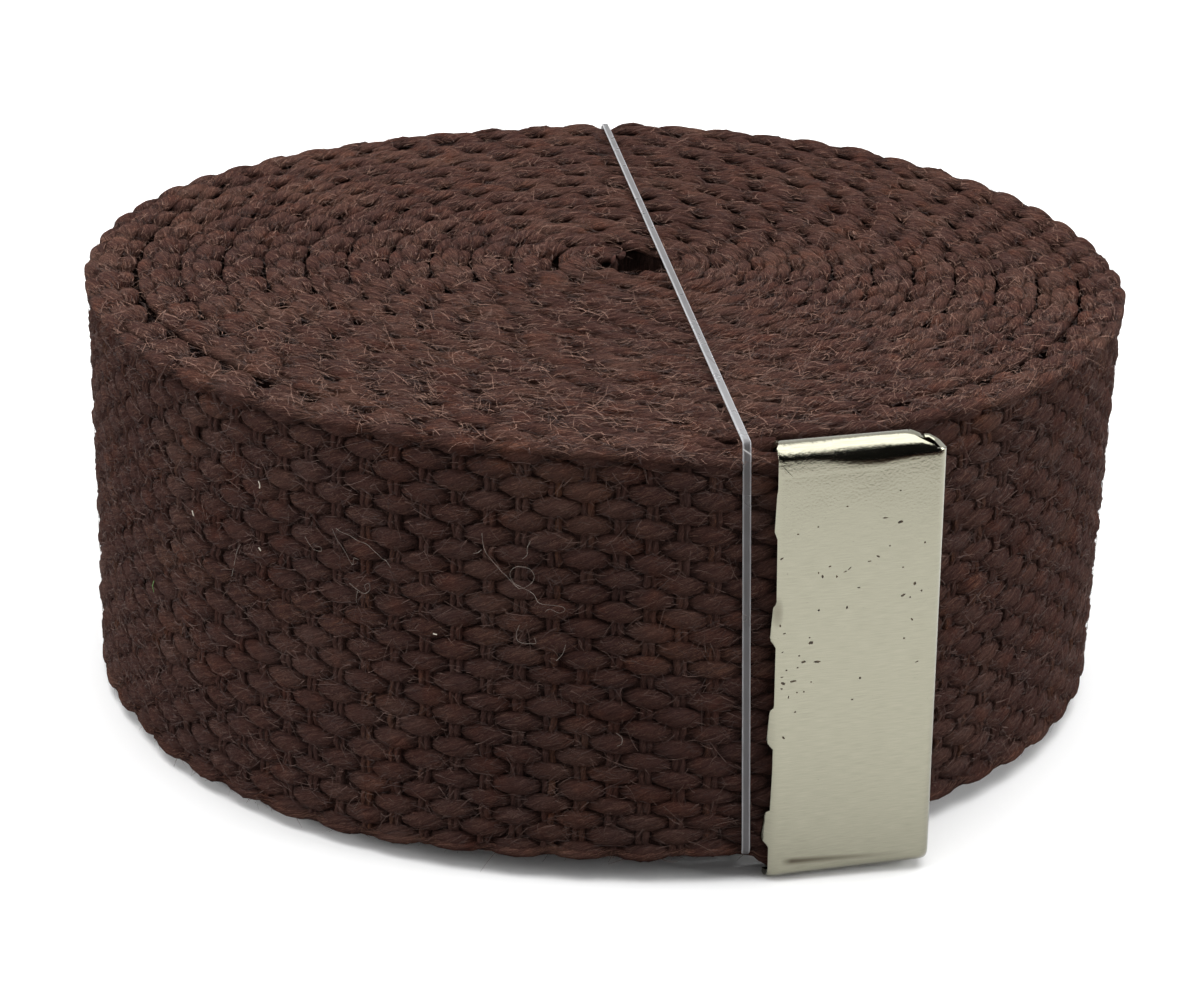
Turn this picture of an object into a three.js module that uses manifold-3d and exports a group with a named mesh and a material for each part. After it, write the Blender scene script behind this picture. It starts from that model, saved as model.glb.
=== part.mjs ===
// A rolled canvas web belt: a woven cotton strap standing on its edge in a tight spiral,
// a folded sheet metal tip on its outer end, and a thin clear band that holds the roll.
// Lengths are millimetres, angles are degrees, Z is up and the front of the roll faces -Y.
import * as THREE from "three";
import { mergeVertices } from "three/addons/utils/BufferGeometryUtils.js";
import ManifoldModule from "manifold-3d";

const solids = await ManifoldModule();
solids.setup();

// Strap sizes
const WEB_WIDTH = 31.75;              // height of the roll as it stands on its edge
const WEB_THICKNESS = 2.7;
const WEB_CHAMFER = 0.55;
const WEB_EDGE_FLAT = 0.2;            // half of the flat left between two chamfers, at least
const WEB_IN_TIP = { thick: 1.5, high: WEB_WIDTH - 0.3 };   // squeezed inside the tip

// Spiral sizes. A winding angle counts from the tip inwards, against the compass of the plan.
const TURN_PITCH = 3.28;              // distance from one turn to the next
const STATION_STEP = 10;              // winding angle between two stations
const WINDING_CENTRE = new THREE.Vector2(-1.12, 0.24);
const TAIL_DIRECTION = -66;           // plan direction of winding angle zero
const FIRST_TURN = 24;                // here the outer end leaves the spiral
const CORE_TURN = 4074;               // here the inner end leaves the spiral
const CORE_RADIUS = 5.28;             // outer face of the strap at the core turn
const CORE_TIGHTENING = 0.4;          // the last half turn is pulled in by this much

// Inner end of the strap: a curl and a short straight stub
const CURL_RADIUS = 2.37;
const CURL_STEPS = 6;
const STUB_LENGTH = 1.0;

// Extra room under the outermost turn: winding angle, distance the strap stands out
const LOOSENESS = [
  [-10, 0.0], [10, 0.05], [25, 0.2], [45, 0.65], [65, 0.95], [90, 0.8], [114, 0.6],
  [140, 0.85], [165, 0.6], [204, 0.65], [250, 0.6], [294, 0.35], [320, 0.4], [340, 0.6],
  [352, 0.65], [375, 0.1], [400, 0.0],
];

// Tip sizes
const TIP_WIDTH = 11.7;               // along the strap
const TIP_SHEET = 0.4;
const TIP_EDGE_GAP = 0.425;           // between the sheet and the strap's edges
const TIP_FACE_GAP = 0.3;             // between the sheet and the strap's faces
const TIP_HEIGHT = WEB_IN_TIP.high + 2 * (TIP_SHEET + TIP_EDGE_GAP);
const TIP_THICKNESS = WEB_IN_TIP.thick + 2 * (TIP_SHEET + TIP_FACE_GAP);
const TIP_FOLD_RADIUS = 0.9;
const TIP_CORNER_CUT = { along: 2.5, down: 1.2 };
const TIP_ROUND_STEPS = 6;            // flats in a quarter of a bend
const TIP_DIRECTION = 13.85;          // of the tip in plan
const TIP_SLANT = 2.1;                // crimped on slightly out of square
const MOUTH_TURN = 7.27;              // winding angle of the mouth's front edge
const TIP_STANDOFF = 1.08;            // how far that edge stands out of the spiral
const CUT_MARGIN = 1;                 // a cutter reaches this far past what it cuts

// Teeth along the mouth
const TOOTH_REACH = 0.42;
const TOOTH_ROOT = 0.2;               // how far a tooth runs back into the plate
const TOOTH_THICKNESS = 0.9;          // share of the sheet's thickness
const TOOTH_NARROWING = 0.72;         // free edge as a share of the root
const TOOTH_BEND = 14;
// Middle and root length of each tooth as shares of the tip's height
const TEETH = [
  { middle: 0.835, root: 0.115 },
  { middle: 0.59, root: 0.112 },
  { middle: 0.355, root: 0.115 },
  { middle: 0.125, root: 0.105 },
];

// Outer end of the strap, from the tip's mouth back to the spiral
const MOUTH_LEAD = 0.9;               // the strap is still thin this far before the mouth
const END_GAP = 0.6;                  // from the strap's cut end to the fold
const TAIL_SAG = 0.35;
// Share of the way, share of the full thickness regained, share of the slant left
const TAIL_ROWS = [[0.25, 0.55, 0.8], [0.5, 0.85, 0.5], [0.75, 1.0, 0.2]];

// Band sizes
const BAND_WIDTH = 0.8;
const BAND_THICKNESS = 0.25;
const BAND_GAP = 0.3;                 // clearance between band and strap
const BAND_CORNER_RADIUS = 0.9;
const BAND_CORNER_STEPS = 5;
const BAND_LINE = { x: 2.1, slope: -0.1374 };        // on the top, x = line.x + slope * y
const BAND_FOOT_SHIFT = 1.55;         // the front run ends this much further right at the floor

// The tip's lower corner touches the floor, the band and the strap's edge are just above it
const STRAP_LIFT = 1.3;

const rad = THREE.MathUtils.degToRad;
const UP = new THREE.Vector3(0, 0, 1);
const flat = (angle) => new THREE.Vector3(Math.cos(angle), Math.sin(angle), 0);

// Smooth value between the rows of a two-column table
function tableValue(table, at) {
  const next = table.findIndex(([key]) => key >= at);
  if (next === -1) return table[table.length - 1][1];
  if (next === 0) return table[0][1];
  const [a0, v0] = table[next - 1];
  const [a1, v1] = table[next];
  return v0 + (v1 - v0) * THREE.MathUtils.smoothstep(at, a0, a1);
}

// Plan position at a winding angle, some way out of the strap's outer face
function windingPlan(turn, standoff) {
  const tightening = CORE_TIGHTENING * THREE.MathUtils.smoothstep(turn, CORE_TURN - 180, CORE_TURN);
  const outerFace = CORE_RADIUS + TURN_PITCH * (CORE_TURN - turn) / 360
    + tableValue(LOOSENESS, turn) - tightening;
  return flat(rad(TAIL_DIRECTION - turn)).multiplyScalar(outerFace + standoff)
    .add(new THREE.Vector3(WINDING_CENTRE.x, WINDING_CENTRE.y, 0));
}

// Middle of the strap at a winding angle
function windingPoint(turn) {
  return windingPlan(turn, -WEB_THICKNESS / 2).setZ(STRAP_LIFT + WEB_WIDTH / 2);
}

// Frame of the tip: x along the strap from the mouth to the fold, y up the plate, z out of its face
function tipFrame() {
  const along = flat(rad(TIP_DIRECTION));
  const x = along.clone().multiplyScalar(Math.cos(rad(TIP_SLANT))).addScaledVector(UP, Math.sin(rad(TIP_SLANT)));
  const y = UP.clone().multiplyScalar(Math.cos(rad(TIP_SLANT))).addScaledVector(along, -Math.sin(rad(TIP_SLANT)));
  const z = new THREE.Vector3().crossVectors(x, y);
  return new THREE.Matrix4().makeBasis(x, y, z).setPosition(windingPlan(MOUTH_TURN, TIP_STANDOFF));
}

// Rows of the strap from its outer cut end to its inner end
function strapRows() {
  const tip = tipFrame();
  const inTip = (u) => ({
    at: new THREE.Vector3(u, TIP_HEIGHT / 2, -TIP_THICKNESS / 2).applyMatrix4(tip),
    ...WEB_IN_TIP, slant: TIP_SLANT,
  });
  const endInside = TIP_WIDTH - TIP_SHEET - END_GAP;
  const rows = [1, 0.66, 0.33].map((share) => inTip(endInside * share));
  const mouth = inTip(-MOUTH_LEAD);
  rows.push(mouth);
  const lead = windingPoint(FIRST_TURN);
  for (const [share, regained, slantLeft] of TAIL_ROWS) {
    const at = mouth.at.clone().lerp(lead, share);
    at.y -= TAIL_SAG * Math.sin(Math.PI * share);
    rows.push({
      at,
      thick: THREE.MathUtils.lerp(WEB_IN_TIP.thick, WEB_THICKNESS, regained),
      high: THREE.MathUtils.lerp(WEB_IN_TIP.high, WEB_WIDTH, regained),
      slant: TIP_SLANT * slantLeft,
    });
  }
  const full = (at) => ({ at, thick: WEB_THICKNESS, high: WEB_WIDTH, slant: 0 });
  for (let turn = FIRST_TURN; turn <= CORE_TURN; turn += STATION_STEP) rows.push(full(windingPoint(turn)));
  const curlCentre = windingPoint(CORE_TURN).add(new THREE.Vector3(CURL_RADIUS, 0, 0));
  for (let i = 1; i <= CURL_STEPS; i++) {
    const around = flat(Math.PI * (1 - i / CURL_STEPS)).multiplyScalar(CURL_RADIUS);
    rows.push(full(curlCentre.clone().add(around)));
  }
  rows.push(full(rows[rows.length - 1].at.clone().add(new THREE.Vector3(0, -STUB_LENGTH, 0))));
  return rows;
}

// Closed mesh through rings of points, each ring clockwise seen from the start
function throughRings(rings, closedLoop) {
  const count = rings[0].length;
  const index = [];
  const spans = closedLoop ? rings.length : rings.length - 1;
  for (let i = 0; i < spans; i++) {
    const a = i * count;
    const b = ((i + 1) % rings.length) * count;
    for (let j = 0; j < count; j++) {
      const k = (j + 1) % count;
      index.push(a + j, b + k, b + j, a + j, a + k, b + k);
    }
  }
  if (!closedLoop) {
    const z = (rings.length - 1) * count;
    for (let j = 1; j < count - 1; j++) {
      index.push(0, j + 1, j);
      index.push(z, z + j, z + j + 1);
    }
  }
  const geometry = new THREE.BufferGeometry();
  geometry.setAttribute("position", new THREE.Float32BufferAttribute(rings.flat().flatMap((p) => p.toArray()), 3));
  geometry.setIndex(index);
  return geometry;
}

// Corners of the strap's section: across is out of the face, up is along the width
function sectionCorners(thick, high) {
  const cut = Math.min(WEB_CHAMFER, thick / 2 - WEB_EDGE_FLAT);
  const a = thick / 2;
  const b = high / 2;
  return [[a - cut, b], [-a + cut, b], [-a, b - cut], [-a, -b + cut], [-a + cut, -b], [a - cut, -b],
    [a, -b + cut], [a, b - cut]];
}

function strapGeometry() {
  const rows = strapRows();
  const rings = rows.map((row, i) => {
    const before = rows[Math.max(i - 1, 0)].at;
    const after = rows[Math.min(i + 1, rows.length - 1)].at;
    const along = after.clone().sub(before).setZ(0).normalize();
    const out = new THREE.Vector3().crossVectors(along, UP).negate();
    const up = UP.clone().multiplyScalar(Math.cos(rad(row.slant))).addScaledVector(along, Math.sin(rad(row.slant)));
    return sectionCorners(row.thick, row.high)
      .map(([across, high]) => row.at.clone().addScaledVector(out, across).addScaledVector(up, high));
  });
  return throughRings(rings, false);
}

// Solid for joining and cutting, from a shape drawn in a plane and drawn out along a direction
function drawnSolid(shape, depth, basis, offset) {
  const drawn = new THREE.ExtrudeGeometry(shape, { depth, bevelEnabled: false, curveSegments: TIP_ROUND_STEPS });
  drawn.deleteAttribute("normal");
  drawn.deleteAttribute("uv");
  drawn.applyMatrix4(new THREE.Matrix4().makeBasis(...basis).setPosition(offset));
  const merged = mergeVertices(drawn, 1e-5);
  return new solids.Manifold(new solids.Mesh({
    numProp: 3,
    vertProperties: new Float32Array(merged.attributes.position.array),
    triVerts: new Uint32Array(merged.index.array),
  }));
}

const X = new THREE.Vector3(1, 0, 0);
const Y = new THREE.Vector3(0, 1, 0);
const Z = new THREE.Vector3(0, 0, 1);

// Outline of a flat tube, seen along the strap: depth into the tip, height up the plate
function tubeOutline(path, inset) {
  const half = TIP_THICKNESS / 2;
  const r = half - inset;
  path.moveTo(half + r, half);
  path.lineTo(half + r, TIP_HEIGHT - half);
  path.absarc(half, TIP_HEIGHT - half, r, 0, Math.PI, false);
  path.lineTo(half - r, half);
  path.absarc(half, half, r, Math.PI, 2 * Math.PI, false);
  return path;
}

function tipGeometry() {
  // The front plate, its rounded edges over the strap and the back plate
  const tube = tubeOutline(new THREE.Shape(), 0);
  tube.holes.push(tubeOutline(new THREE.Path(), TIP_SHEET));
  const foldStart = TIP_WIDTH - TIP_FOLD_RADIUS;
  let tip = drawnSolid(tube, foldStart, [Z.clone().negate(), Y, X], new THREE.Vector3());

  // The fold that joins front and back plate past the strap's cut end
  const [w, t, s, r] = [TIP_WIDTH, TIP_THICKNESS, TIP_SHEET, TIP_FOLD_RADIUS];
  const fold = new THREE.Shape();
  fold.moveTo(foldStart - s, 0);
  fold.lineTo(w - r, 0);
  fold.absarc(w - r, r, r, -Math.PI / 2, 0, false);
  fold.lineTo(w, t - r);
  fold.absarc(w - r, t - r, r, 0, Math.PI / 2, false);
  fold.lineTo(foldStart - s, t);
  fold.lineTo(foldStart - s, t - s);
  fold.lineTo(w - r, t - s);
  fold.absarc(w - r, t - r, r - s, Math.PI / 2, 0, true);
  fold.lineTo(w - s, r);
  fold.absarc(w - r, r, r - s, 0, -Math.PI / 2, true);
  fold.lineTo(foldStart - s, s);
  const foldHeight = TIP_HEIGHT - t;
  tip = tip.add(drawnSolid(fold, foldHeight, [X, Z.clone().negate(), Y], new THREE.Vector3(0, t / 2, 0)));

  // Teeth at the mouth, bent in towards the strap
  for (const { middle, root } of TEETH) {
    const half = root * TIP_HEIGHT / 2;
    const tooth = new THREE.Shape();
    tooth.moveTo(TOOTH_ROOT, -half);
    tooth.lineTo(TOOTH_ROOT, half);
    tooth.lineTo(-TOOTH_REACH, half * TOOTH_NARROWING);
    tooth.lineTo(-TOOTH_REACH, -half * TOOTH_NARROWING);
    const bend = rad(TOOTH_BEND);
    const x = new THREE.Vector3(Math.cos(bend), 0, Math.sin(bend));
    const z = new THREE.Vector3(-Math.sin(bend), 0, Math.cos(bend));
    const offset = new THREE.Vector3(0, middle * TIP_HEIGHT, 0).addScaledVector(z, -s);
    tip = tip.add(drawnSolid(tooth, s * TOOTH_THICKNESS, [x, Y, z], offset));
  }

  // Both corners beside the fold are cut off
  for (const top of [true, false]) {
    const sign = top ? -1 : 1;
    const edge = top ? TIP_HEIGHT : 0;
    const corner = new THREE.Shape();
    corner.moveTo(w - TIP_CORNER_CUT.along, edge);
    corner.lineTo(w - TIP_CORNER_CUT.along, edge - sign * CUT_MARGIN);
    corner.lineTo(w + CUT_MARGIN, edge - sign * CUT_MARGIN);
    corner.lineTo(w + CUT_MARGIN, edge + sign * TIP_CORNER_CUT.down);
    corner.lineTo(w, edge + sign * TIP_CORNER_CUT.down);
    const depth = t + 2 * CUT_MARGIN;
    tip = tip.subtract(drawnSolid(corner, depth, [X, Y, Z], new THREE.Vector3(0, 0, -t - CUT_MARGIN)));
  }

  const mesh = tip.getMesh();
  const geometry = new THREE.BufferGeometry();
  geometry.setAttribute("position", new THREE.Float32BufferAttribute(Float32Array.from(mesh.vertProperties), 3));
  geometry.setIndex(Array.from(mesh.triVerts));
  return geometry.applyMatrix4(tipFrame());
}

// How far the roll reaches towards the front (side -1) or the back (side 1) at a place across it
function rollReach(x, side) {
  const rows = strapRows();
  let reach = 0;
  for (let i = 1; i < rows.length; i++) {
    const [a, b] = [rows[i - 1].at, rows[i].at];
    const share = (x - a.x) / (b.x - a.x);
    if (share < 0 || share > 1) continue;
    const thick = Math.max(rows[i - 1].thick, rows[i].thick);
    reach = Math.max(reach, side * THREE.MathUtils.lerp(a.y, b.y, share) + thick / 2);
  }
  return side * reach;
}

function bandGeometry() {
  const half = BAND_THICKNESS / 2;
  const top = STRAP_LIFT + WEB_WIDTH + BAND_GAP + half;
  const low = BAND_GAP + half;
  const outer = BAND_GAP + half;
  const lineX = (y) => BAND_LINE.x + BAND_LINE.slope * y;
  const widest = rollReach(BAND_LINE.x, -1);
  const footX = lineX(widest) + BAND_FOOT_SHIFT + BAND_WIDTH / 2;
  const front = Math.min(rollReach(lineX(widest) - BAND_WIDTH, -1), rollReach(footX, -1)) - outer;
  const back = rollReach(lineX(-widest), 1) + outer;
  const corners = [
    { at: new THREE.Vector3(lineX(front), front, top), out: Z, next: Y.clone().negate() },
    { at: new THREE.Vector3(lineX(front) + BAND_FOOT_SHIFT, front, low), out: Y.clone().negate(), next: Z.clone().negate() },
    { at: new THREE.Vector3(lineX(back), back, low), out: Z.clone().negate(), next: Y },
    { at: new THREE.Vector3(lineX(back), back, top), out: Y, next: Z },
  ];
  const rings = [];
  corners.forEach((corner, i) => {
    const came = corner.at.clone().sub(corners[(i + 3) % 4].at).normalize();
    const goes = corners[(i + 1) % 4].at.clone().sub(corner.at).normalize();
    for (let step = 0; step <= BAND_CORNER_STEPS; step++) {
      const a = (Math.PI / 2) * step / BAND_CORNER_STEPS;
      const at = corner.at.clone()
        .addScaledVector(came, -BAND_CORNER_RADIUS * (1 - Math.sin(a)))
        .addScaledVector(goes, BAND_CORNER_RADIUS * (1 - Math.cos(a)));
      const along = came.clone().multiplyScalar(Math.cos(a)).addScaledVector(goes, Math.sin(a));
      const out = corner.out.clone().multiplyScalar(Math.cos(a)).addScaledVector(corner.next, Math.sin(a));
      const side = new THREE.Vector3().crossVectors(along, out).normalize();
      rings.push([[1, 1], [1, -1], [-1, -1], [-1, 1]].map(([p, q]) => at.clone()
        .addScaledVector(side, p * BAND_WIDTH / 2).addScaledVector(out, q * half)));
    }
  });
  return throughRings(rings, true);
}

function named(name, geometry, look) {
  const facets = geometry.toNonIndexed();
  facets.computeVertexNormals();
  const mesh = new THREE.Mesh(facets, new THREE.MeshStandardMaterial(look));
  mesh.name = name;
  return mesh;
}

const belt = new THREE.Group();
belt.name = "canvas_web_belt";
belt.add(named("webbing_strap", strapGeometry(), { color: 0x3a231d, roughness: 0.95 }));
belt.add(named("belt_tip", tipGeometry(), { color: 0xb8b5a2, roughness: 0.25, metalness: 1 }));
belt.add(named("retaining_band", bandGeometry(), { color: 0xe4e6e6, roughness: 0.2, transparent: true, opacity: 0.4 }));

// The origin is the middle of the footprint, at the floor
const box = new THREE.Box3().setFromObject(belt);
const middle = box.getCenter(new THREE.Vector3());
for (const mesh of belt.children) mesh.geometry.translate(-middle.x, -middle.y, -box.min.z);

export default belt;
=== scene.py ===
# %% [markdown]
# # A rolled canvas web belt
# A heavy cotton web belt is rolled up in a tight spiral and stands on its edge.
# A folded nickel tip closes its outer end, and a thin clear band round the roll keeps it shut.
# The webbing is nearly all of the picture, so most of this script weaves it: real yarns
# as geometry, with twist and fibres added by the material.

# %% Open the frame
import math

import bpy
import numpy as np
from mathutils import Matrix, Vector


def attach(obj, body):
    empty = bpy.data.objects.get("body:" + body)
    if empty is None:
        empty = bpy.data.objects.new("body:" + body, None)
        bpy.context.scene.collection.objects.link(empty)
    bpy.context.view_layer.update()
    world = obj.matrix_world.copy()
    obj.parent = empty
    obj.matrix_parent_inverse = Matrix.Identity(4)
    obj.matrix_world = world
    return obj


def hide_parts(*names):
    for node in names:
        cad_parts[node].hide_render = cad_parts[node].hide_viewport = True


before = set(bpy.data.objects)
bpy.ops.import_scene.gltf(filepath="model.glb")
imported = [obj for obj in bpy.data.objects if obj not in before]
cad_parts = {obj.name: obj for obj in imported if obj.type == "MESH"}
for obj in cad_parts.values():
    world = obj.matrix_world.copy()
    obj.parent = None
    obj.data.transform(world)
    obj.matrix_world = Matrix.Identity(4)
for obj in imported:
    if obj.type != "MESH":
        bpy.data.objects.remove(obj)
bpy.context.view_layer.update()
MM = 0.001
rng = np.random.default_rng(7)
print("frame nodes:", sorted(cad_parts))

# %% [markdown]
# ## Where the strap runs
# The strap is one long ribbon. It follows an Archimedean spiral round the core, which the winding
# angle describes: zero at the tip, growing inwards. A short table says how loosely the outermost
# turn lies. The outer end leaves the spiral for the tip and the inner end curls into a stub.
# The same numbers shaped the frame, so woven yarns and frame agree.

# %% Sizes of strap and roll, in millimetres
WEB_WIDTH, WEB_THICKNESS = 31.75, 2.7
TURN_PITCH = 3.28
SHIFT = np.array([2.065, 0.256])               # from the winding's own origin to the frame's
WINDING_CENTRE = np.array([-1.12, 0.24]) + SHIFT
TAIL_DIRECTION = -66.0
FIRST_TURN, CORE_TURN, CORE_RADIUS = 24.0, 4074.0, 5.28
CORE_TIGHTENING = 0.4
CURL_RADIUS, STUB_LENGTH = 2.37, 0.3
WORN_BACK = 2.6                                # the inner end's threads are worn back this far
STRAP_LIFT = 1.3                               # the tip reaches lower, so the strap is off the floor
MIDDLE_Z = STRAP_LIFT + WEB_WIDTH / 2
# Room under the outermost turns: winding angle, distance the strap stands out
LOOSENESS = np.array([
    (-10, 0.0), (10, 0.05), (25, 0.2), (45, 0.65), (65, 0.95), (90, 0.8), (114, 0.6),
    (140, 0.85), (165, 0.6), (204, 0.65), (250, 0.6), (294, 0.35), (320, 0.4), (340, 0.6),
    (352, 0.65), (375, 0.1), (400, 0.0)])

TIP_WIDTH, TIP_HEIGHT, TIP_THICKNESS, TIP_SHEET = 11.7, 33.1, 2.9, 0.4
TIP_DIRECTION, TIP_SLANT = math.radians(13.85), math.radians(2.1)
MOUTH_TURN, TIP_STANDOFF = 7.27, 1.08
END_GAP, MOUTH_LEAD = 0.6, 0.9                 # from cut end to fold, and thin strap before the mouth
AT_MOUTH = TIP_WIDTH - TIP_SHEET - END_GAP     # place of the tip's mouth along the strap


# %% Middle line of the strap
def smooth(x, low=0.0, high=1.0):
    x = np.clip((x - low) / (high - low), 0, 1)
    return x * x * (3 - 2 * x)


def unit(v):
    return v / (np.linalg.norm(v, axis=-1, keepdims=True) + 1e-9)


def looseness(turn):
    row = np.clip(np.searchsorted(LOOSENESS[:, 0], turn), 1, len(LOOSENESS) - 1)
    a, b = LOOSENESS[row - 1], LOOSENESS[row]
    return a[:, 1] + (b[:, 1] - a[:, 1]) * smooth((turn - a[:, 0]) / (b[:, 0] - a[:, 0]))


def winding_points(turn, standoff=-WEB_THICKNESS / 2):
    turn = np.atleast_1d(np.asarray(turn, float))
    heading = np.radians(TAIL_DIRECTION - turn)
    radius = (CORE_RADIUS + TURN_PITCH * (CORE_TURN - turn) / 360 + looseness(turn)
              - CORE_TIGHTENING * smooth(turn, CORE_TURN - 180, CORE_TURN) + standoff)
    return WINDING_CENTRE + radius[:, None] * np.stack([np.cos(heading), np.sin(heading)], 1)


TIP_MOUTH = winding_points(MOUTH_TURN, TIP_STANDOFF)[0]


def tip_axes():
    along = np.array([math.cos(TIP_DIRECTION), math.sin(TIP_DIRECTION), 0])
    up = np.array([0, 0, 1.0])
    x = along * math.cos(TIP_SLANT) + up * math.sin(TIP_SLANT)
    y = up * math.cos(TIP_SLANT) - along * math.sin(TIP_SLANT)
    return x, y, np.cross(x, y)


def tip_point(u, v, w):
    """Place of a point u along the tip, v up its plate and w deep behind its face."""
    x, y, z = tip_axes()
    u, v, w = (np.asarray(a, float)[..., None] for a in (u, v, w))
    return np.array([*TIP_MOUTH, 0]) + u * x + v * y - w * z


def hermite(p0, m0, p1, m1, count):
    t = np.linspace(0, 1, count)[:, None]
    return ((2 * t**3 - 3 * t**2 + 1) * p0 + (t**3 - 2 * t**2 + t) * m0
            + (-2 * t**3 + 3 * t**2) * p1 + (t**3 - t**2) * m1)


def middle_line(steps=24, winding_step=1.5, curl_steps=20):
    """The strap's middle in plan: inside the tip, a bend, the winding, a curl and a short stub."""
    inside = np.linspace(AT_MOUTH, -MOUTH_LEAD, steps)
    in_tip = tip_point(inside, np.full(steps, TIP_HEIGHT / 2), np.full(steps, TIP_THICKNESS / 2))[:, :2]
    spiral = winding_points(np.arange(FIRST_TURN, CORE_TURN + 0.1, winding_step))
    reach = np.linalg.norm(in_tip[-1] - spiral[0])
    leaving = (in_tip[-1] - in_tip[-2]) / np.linalg.norm(in_tip[-1] - in_tip[-2])
    joining = (spiral[1] - spiral[0]) / np.linalg.norm(spiral[1] - spiral[0])
    bend = hermite(in_tip[-1], leaving * reach, spiral[0], joining * reach, steps)[1:-1]
    a = np.linspace(math.pi, 0, curl_steps)[1:]
    curl = spiral[-1] + [CURL_RADIUS, 0] + CURL_RADIUS * np.stack([np.cos(a), np.sin(a)], 1)
    stub = curl[-1] + np.linspace(0.25, 1, 4)[:, None] * [0, -STUB_LENGTH]
    return np.concatenate([in_tip, bend, spiral, curl, stub])


LINE = middle_line()
ARC = np.concatenate([[0], np.cumsum(np.linalg.norm(np.diff(LINE, axis=0), axis=1))])
steps = np.gradient(LINE, ARC, axis=0)
HEADING = np.unwrap(np.arctan2(steps[:, 1], steps[:, 0]))
LENGTH = ARC[-1]
CUT_END = LENGTH - WORN_BACK
print(f"strap length {LENGTH:.0f} mm, mouth of the tip at {AT_MOUTH:.1f} mm")


# %% [markdown]
# ## From flat cloth to the roll
# Everything woven is first thought of flat: `s` runs along the strap from the cut end in the tip,
# `n` points out of its outer face and `h` runs up its width. `place` carries such points onto the
# roll. On the way it bends them as the real cloth is bent. Near the tip the strap is squeezed thin,
# its lower edge is drawn up and it tilts with the tip, which was crimped on slightly out of square.
# Where the outermost turn lies loose the cloth is fuller. Under the band its edges are pressed in,
# and the turns aren't quite level. Short tables and smooth steps keep each of these adjustable.

# %% Flat strap to roll
BAND_TOP = {"x": 4.32, "slope": -0.1357}       # the band's line over the top, x = x + slope * y
BAND_FOOT_X = 11.4                             # where its front run goes under the strap
SLANT_GONE = 12.0                              # this far past the mouth the strap stands upright
# How far the lower edge is drawn up near the tip: s, height
DRAWN_UP = np.array([
    (11.0, 0.1), (11.6, 0.2), (12.3, 0.75), (13.2, 1.1), (15.0, 1.15), (17.0, 0.75), (20.0, 0.25),
    (34.0, 0.1), (48.0, 0.0)])
DRAWN_BELOW = 8.0                              # only what lies this far below the middle is drawn up
PRESSED_TOP, PRESSED_MORE, PRESSED_FOOT = 0.22, 0.2, 0.45   # on top, more at the back, at the foot
RAISED, SUNK = 0.6, 0.7                        # how uneven the turns are, back right and front left
# Squeezed thin in the tip, fuller where it lies loose: s, share of the outer half, of the inner half
FULLNESS = np.array([
    (11.2, 0.54, 0.54), (11.9, 0.54, 1.10), (13.0, 0.55, 1.50), (14.6, 0.62, 1.60), (17.0, 0.84, 1.60),
    (20.0, 1.00, 1.60), (28.0, 1.00, 1.50), (45.0, 1.00, 1.30), (65.0, 1.08, 1.35), (93.0, 1.30, 1.45),
    (122.0, 1.05, 1.30), (240.0, 1.00, 1.25), (262.0, 1.00, 1.15), (268.0, 1.25, 1.10),
    (284.0, 1.25, 1.05), (300.0, 1.07, 1.07)])


def fullness(s, n):
    at, outer, inner = FULLNESS.T
    return np.where(n > 0, np.interp(s, at, outer), np.interp(s, at, inner))


def pressed(x, y, h):
    """How far the band squeezes the strap's edges towards the middle, at a place in plan."""
    from_line = x - BAND_TOP["x"] - BAND_TOP["slope"] * y
    top = (PRESSED_TOP + PRESSED_MORE * smooth(y, 34, 40)) * np.exp(-(from_line / 0.9) ** 2)
    foot = PRESSED_FOOT * np.exp(-((x - BAND_FOOT_X) / 0.6) ** 2) * smooth(-y, 37.5, 39.5)
    edge = WEB_WIDTH / 2
    return foot * smooth(-h, edge - 2.2, edge - 0.3) - top * smooth(h, edge - 1.6, edge - 0.3)


def uneven(x, y, h):
    """The turns are not quite level: raised at the back right, sunk at the front left."""
    raised = RAISED * smooth(y, 10, 38) * smooth(x, -16, 4)
    sunk = SUNK * smooth(-x, 8, 17) * smooth(-y, -15, 5)
    return raised * smooth(h, 0, WEB_WIDTH / 2) - sunk * smooth(-h, 0, WEB_WIDTH / 2)


def place(s, n, h):
    """Points of the flat cloth on the roll, in millimetres."""
    s, n, h = np.broadcast_arrays(s, n, h)
    x, y = np.interp(s, ARC, LINE[:, 0]), np.interp(s, ARC, LINE[:, 1])
    drawn = np.interp(s, DRAWN_UP[:, 0], DRAWN_UP[:, 1])
    h = h + pressed(x, y, h) + uneven(x, y, h) + drawn * smooth(-h, DRAWN_BELOW, WEB_WIDTH / 2)
    a = np.interp(s, ARC, HEADING)
    near = 1 - smooth(s, AT_MOUTH + MOUTH_LEAD, AT_MOUTH + SLANT_GONE)
    slant = TIP_SLANT * near
    rise = near * (TIP_HEIGHT / 2 * math.cos(TIP_SLANT) - MIDDLE_Z
                   + np.maximum(AT_MOUTH - s, -MOUTH_LEAD) * math.sin(TIP_SLANT))
    n = n * fullness(s, n)
    px = x - np.sin(a) * n + np.cos(a) * h * np.sin(slant)
    py = y + np.cos(a) * n + np.sin(a) * h * np.sin(slant)
    return np.stack([px, py, MIDDLE_Z + rise + h * np.cos(slant)], -1)


print(f"the strap's middle stands {MIDDLE_Z:.2f} mm high")
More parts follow.
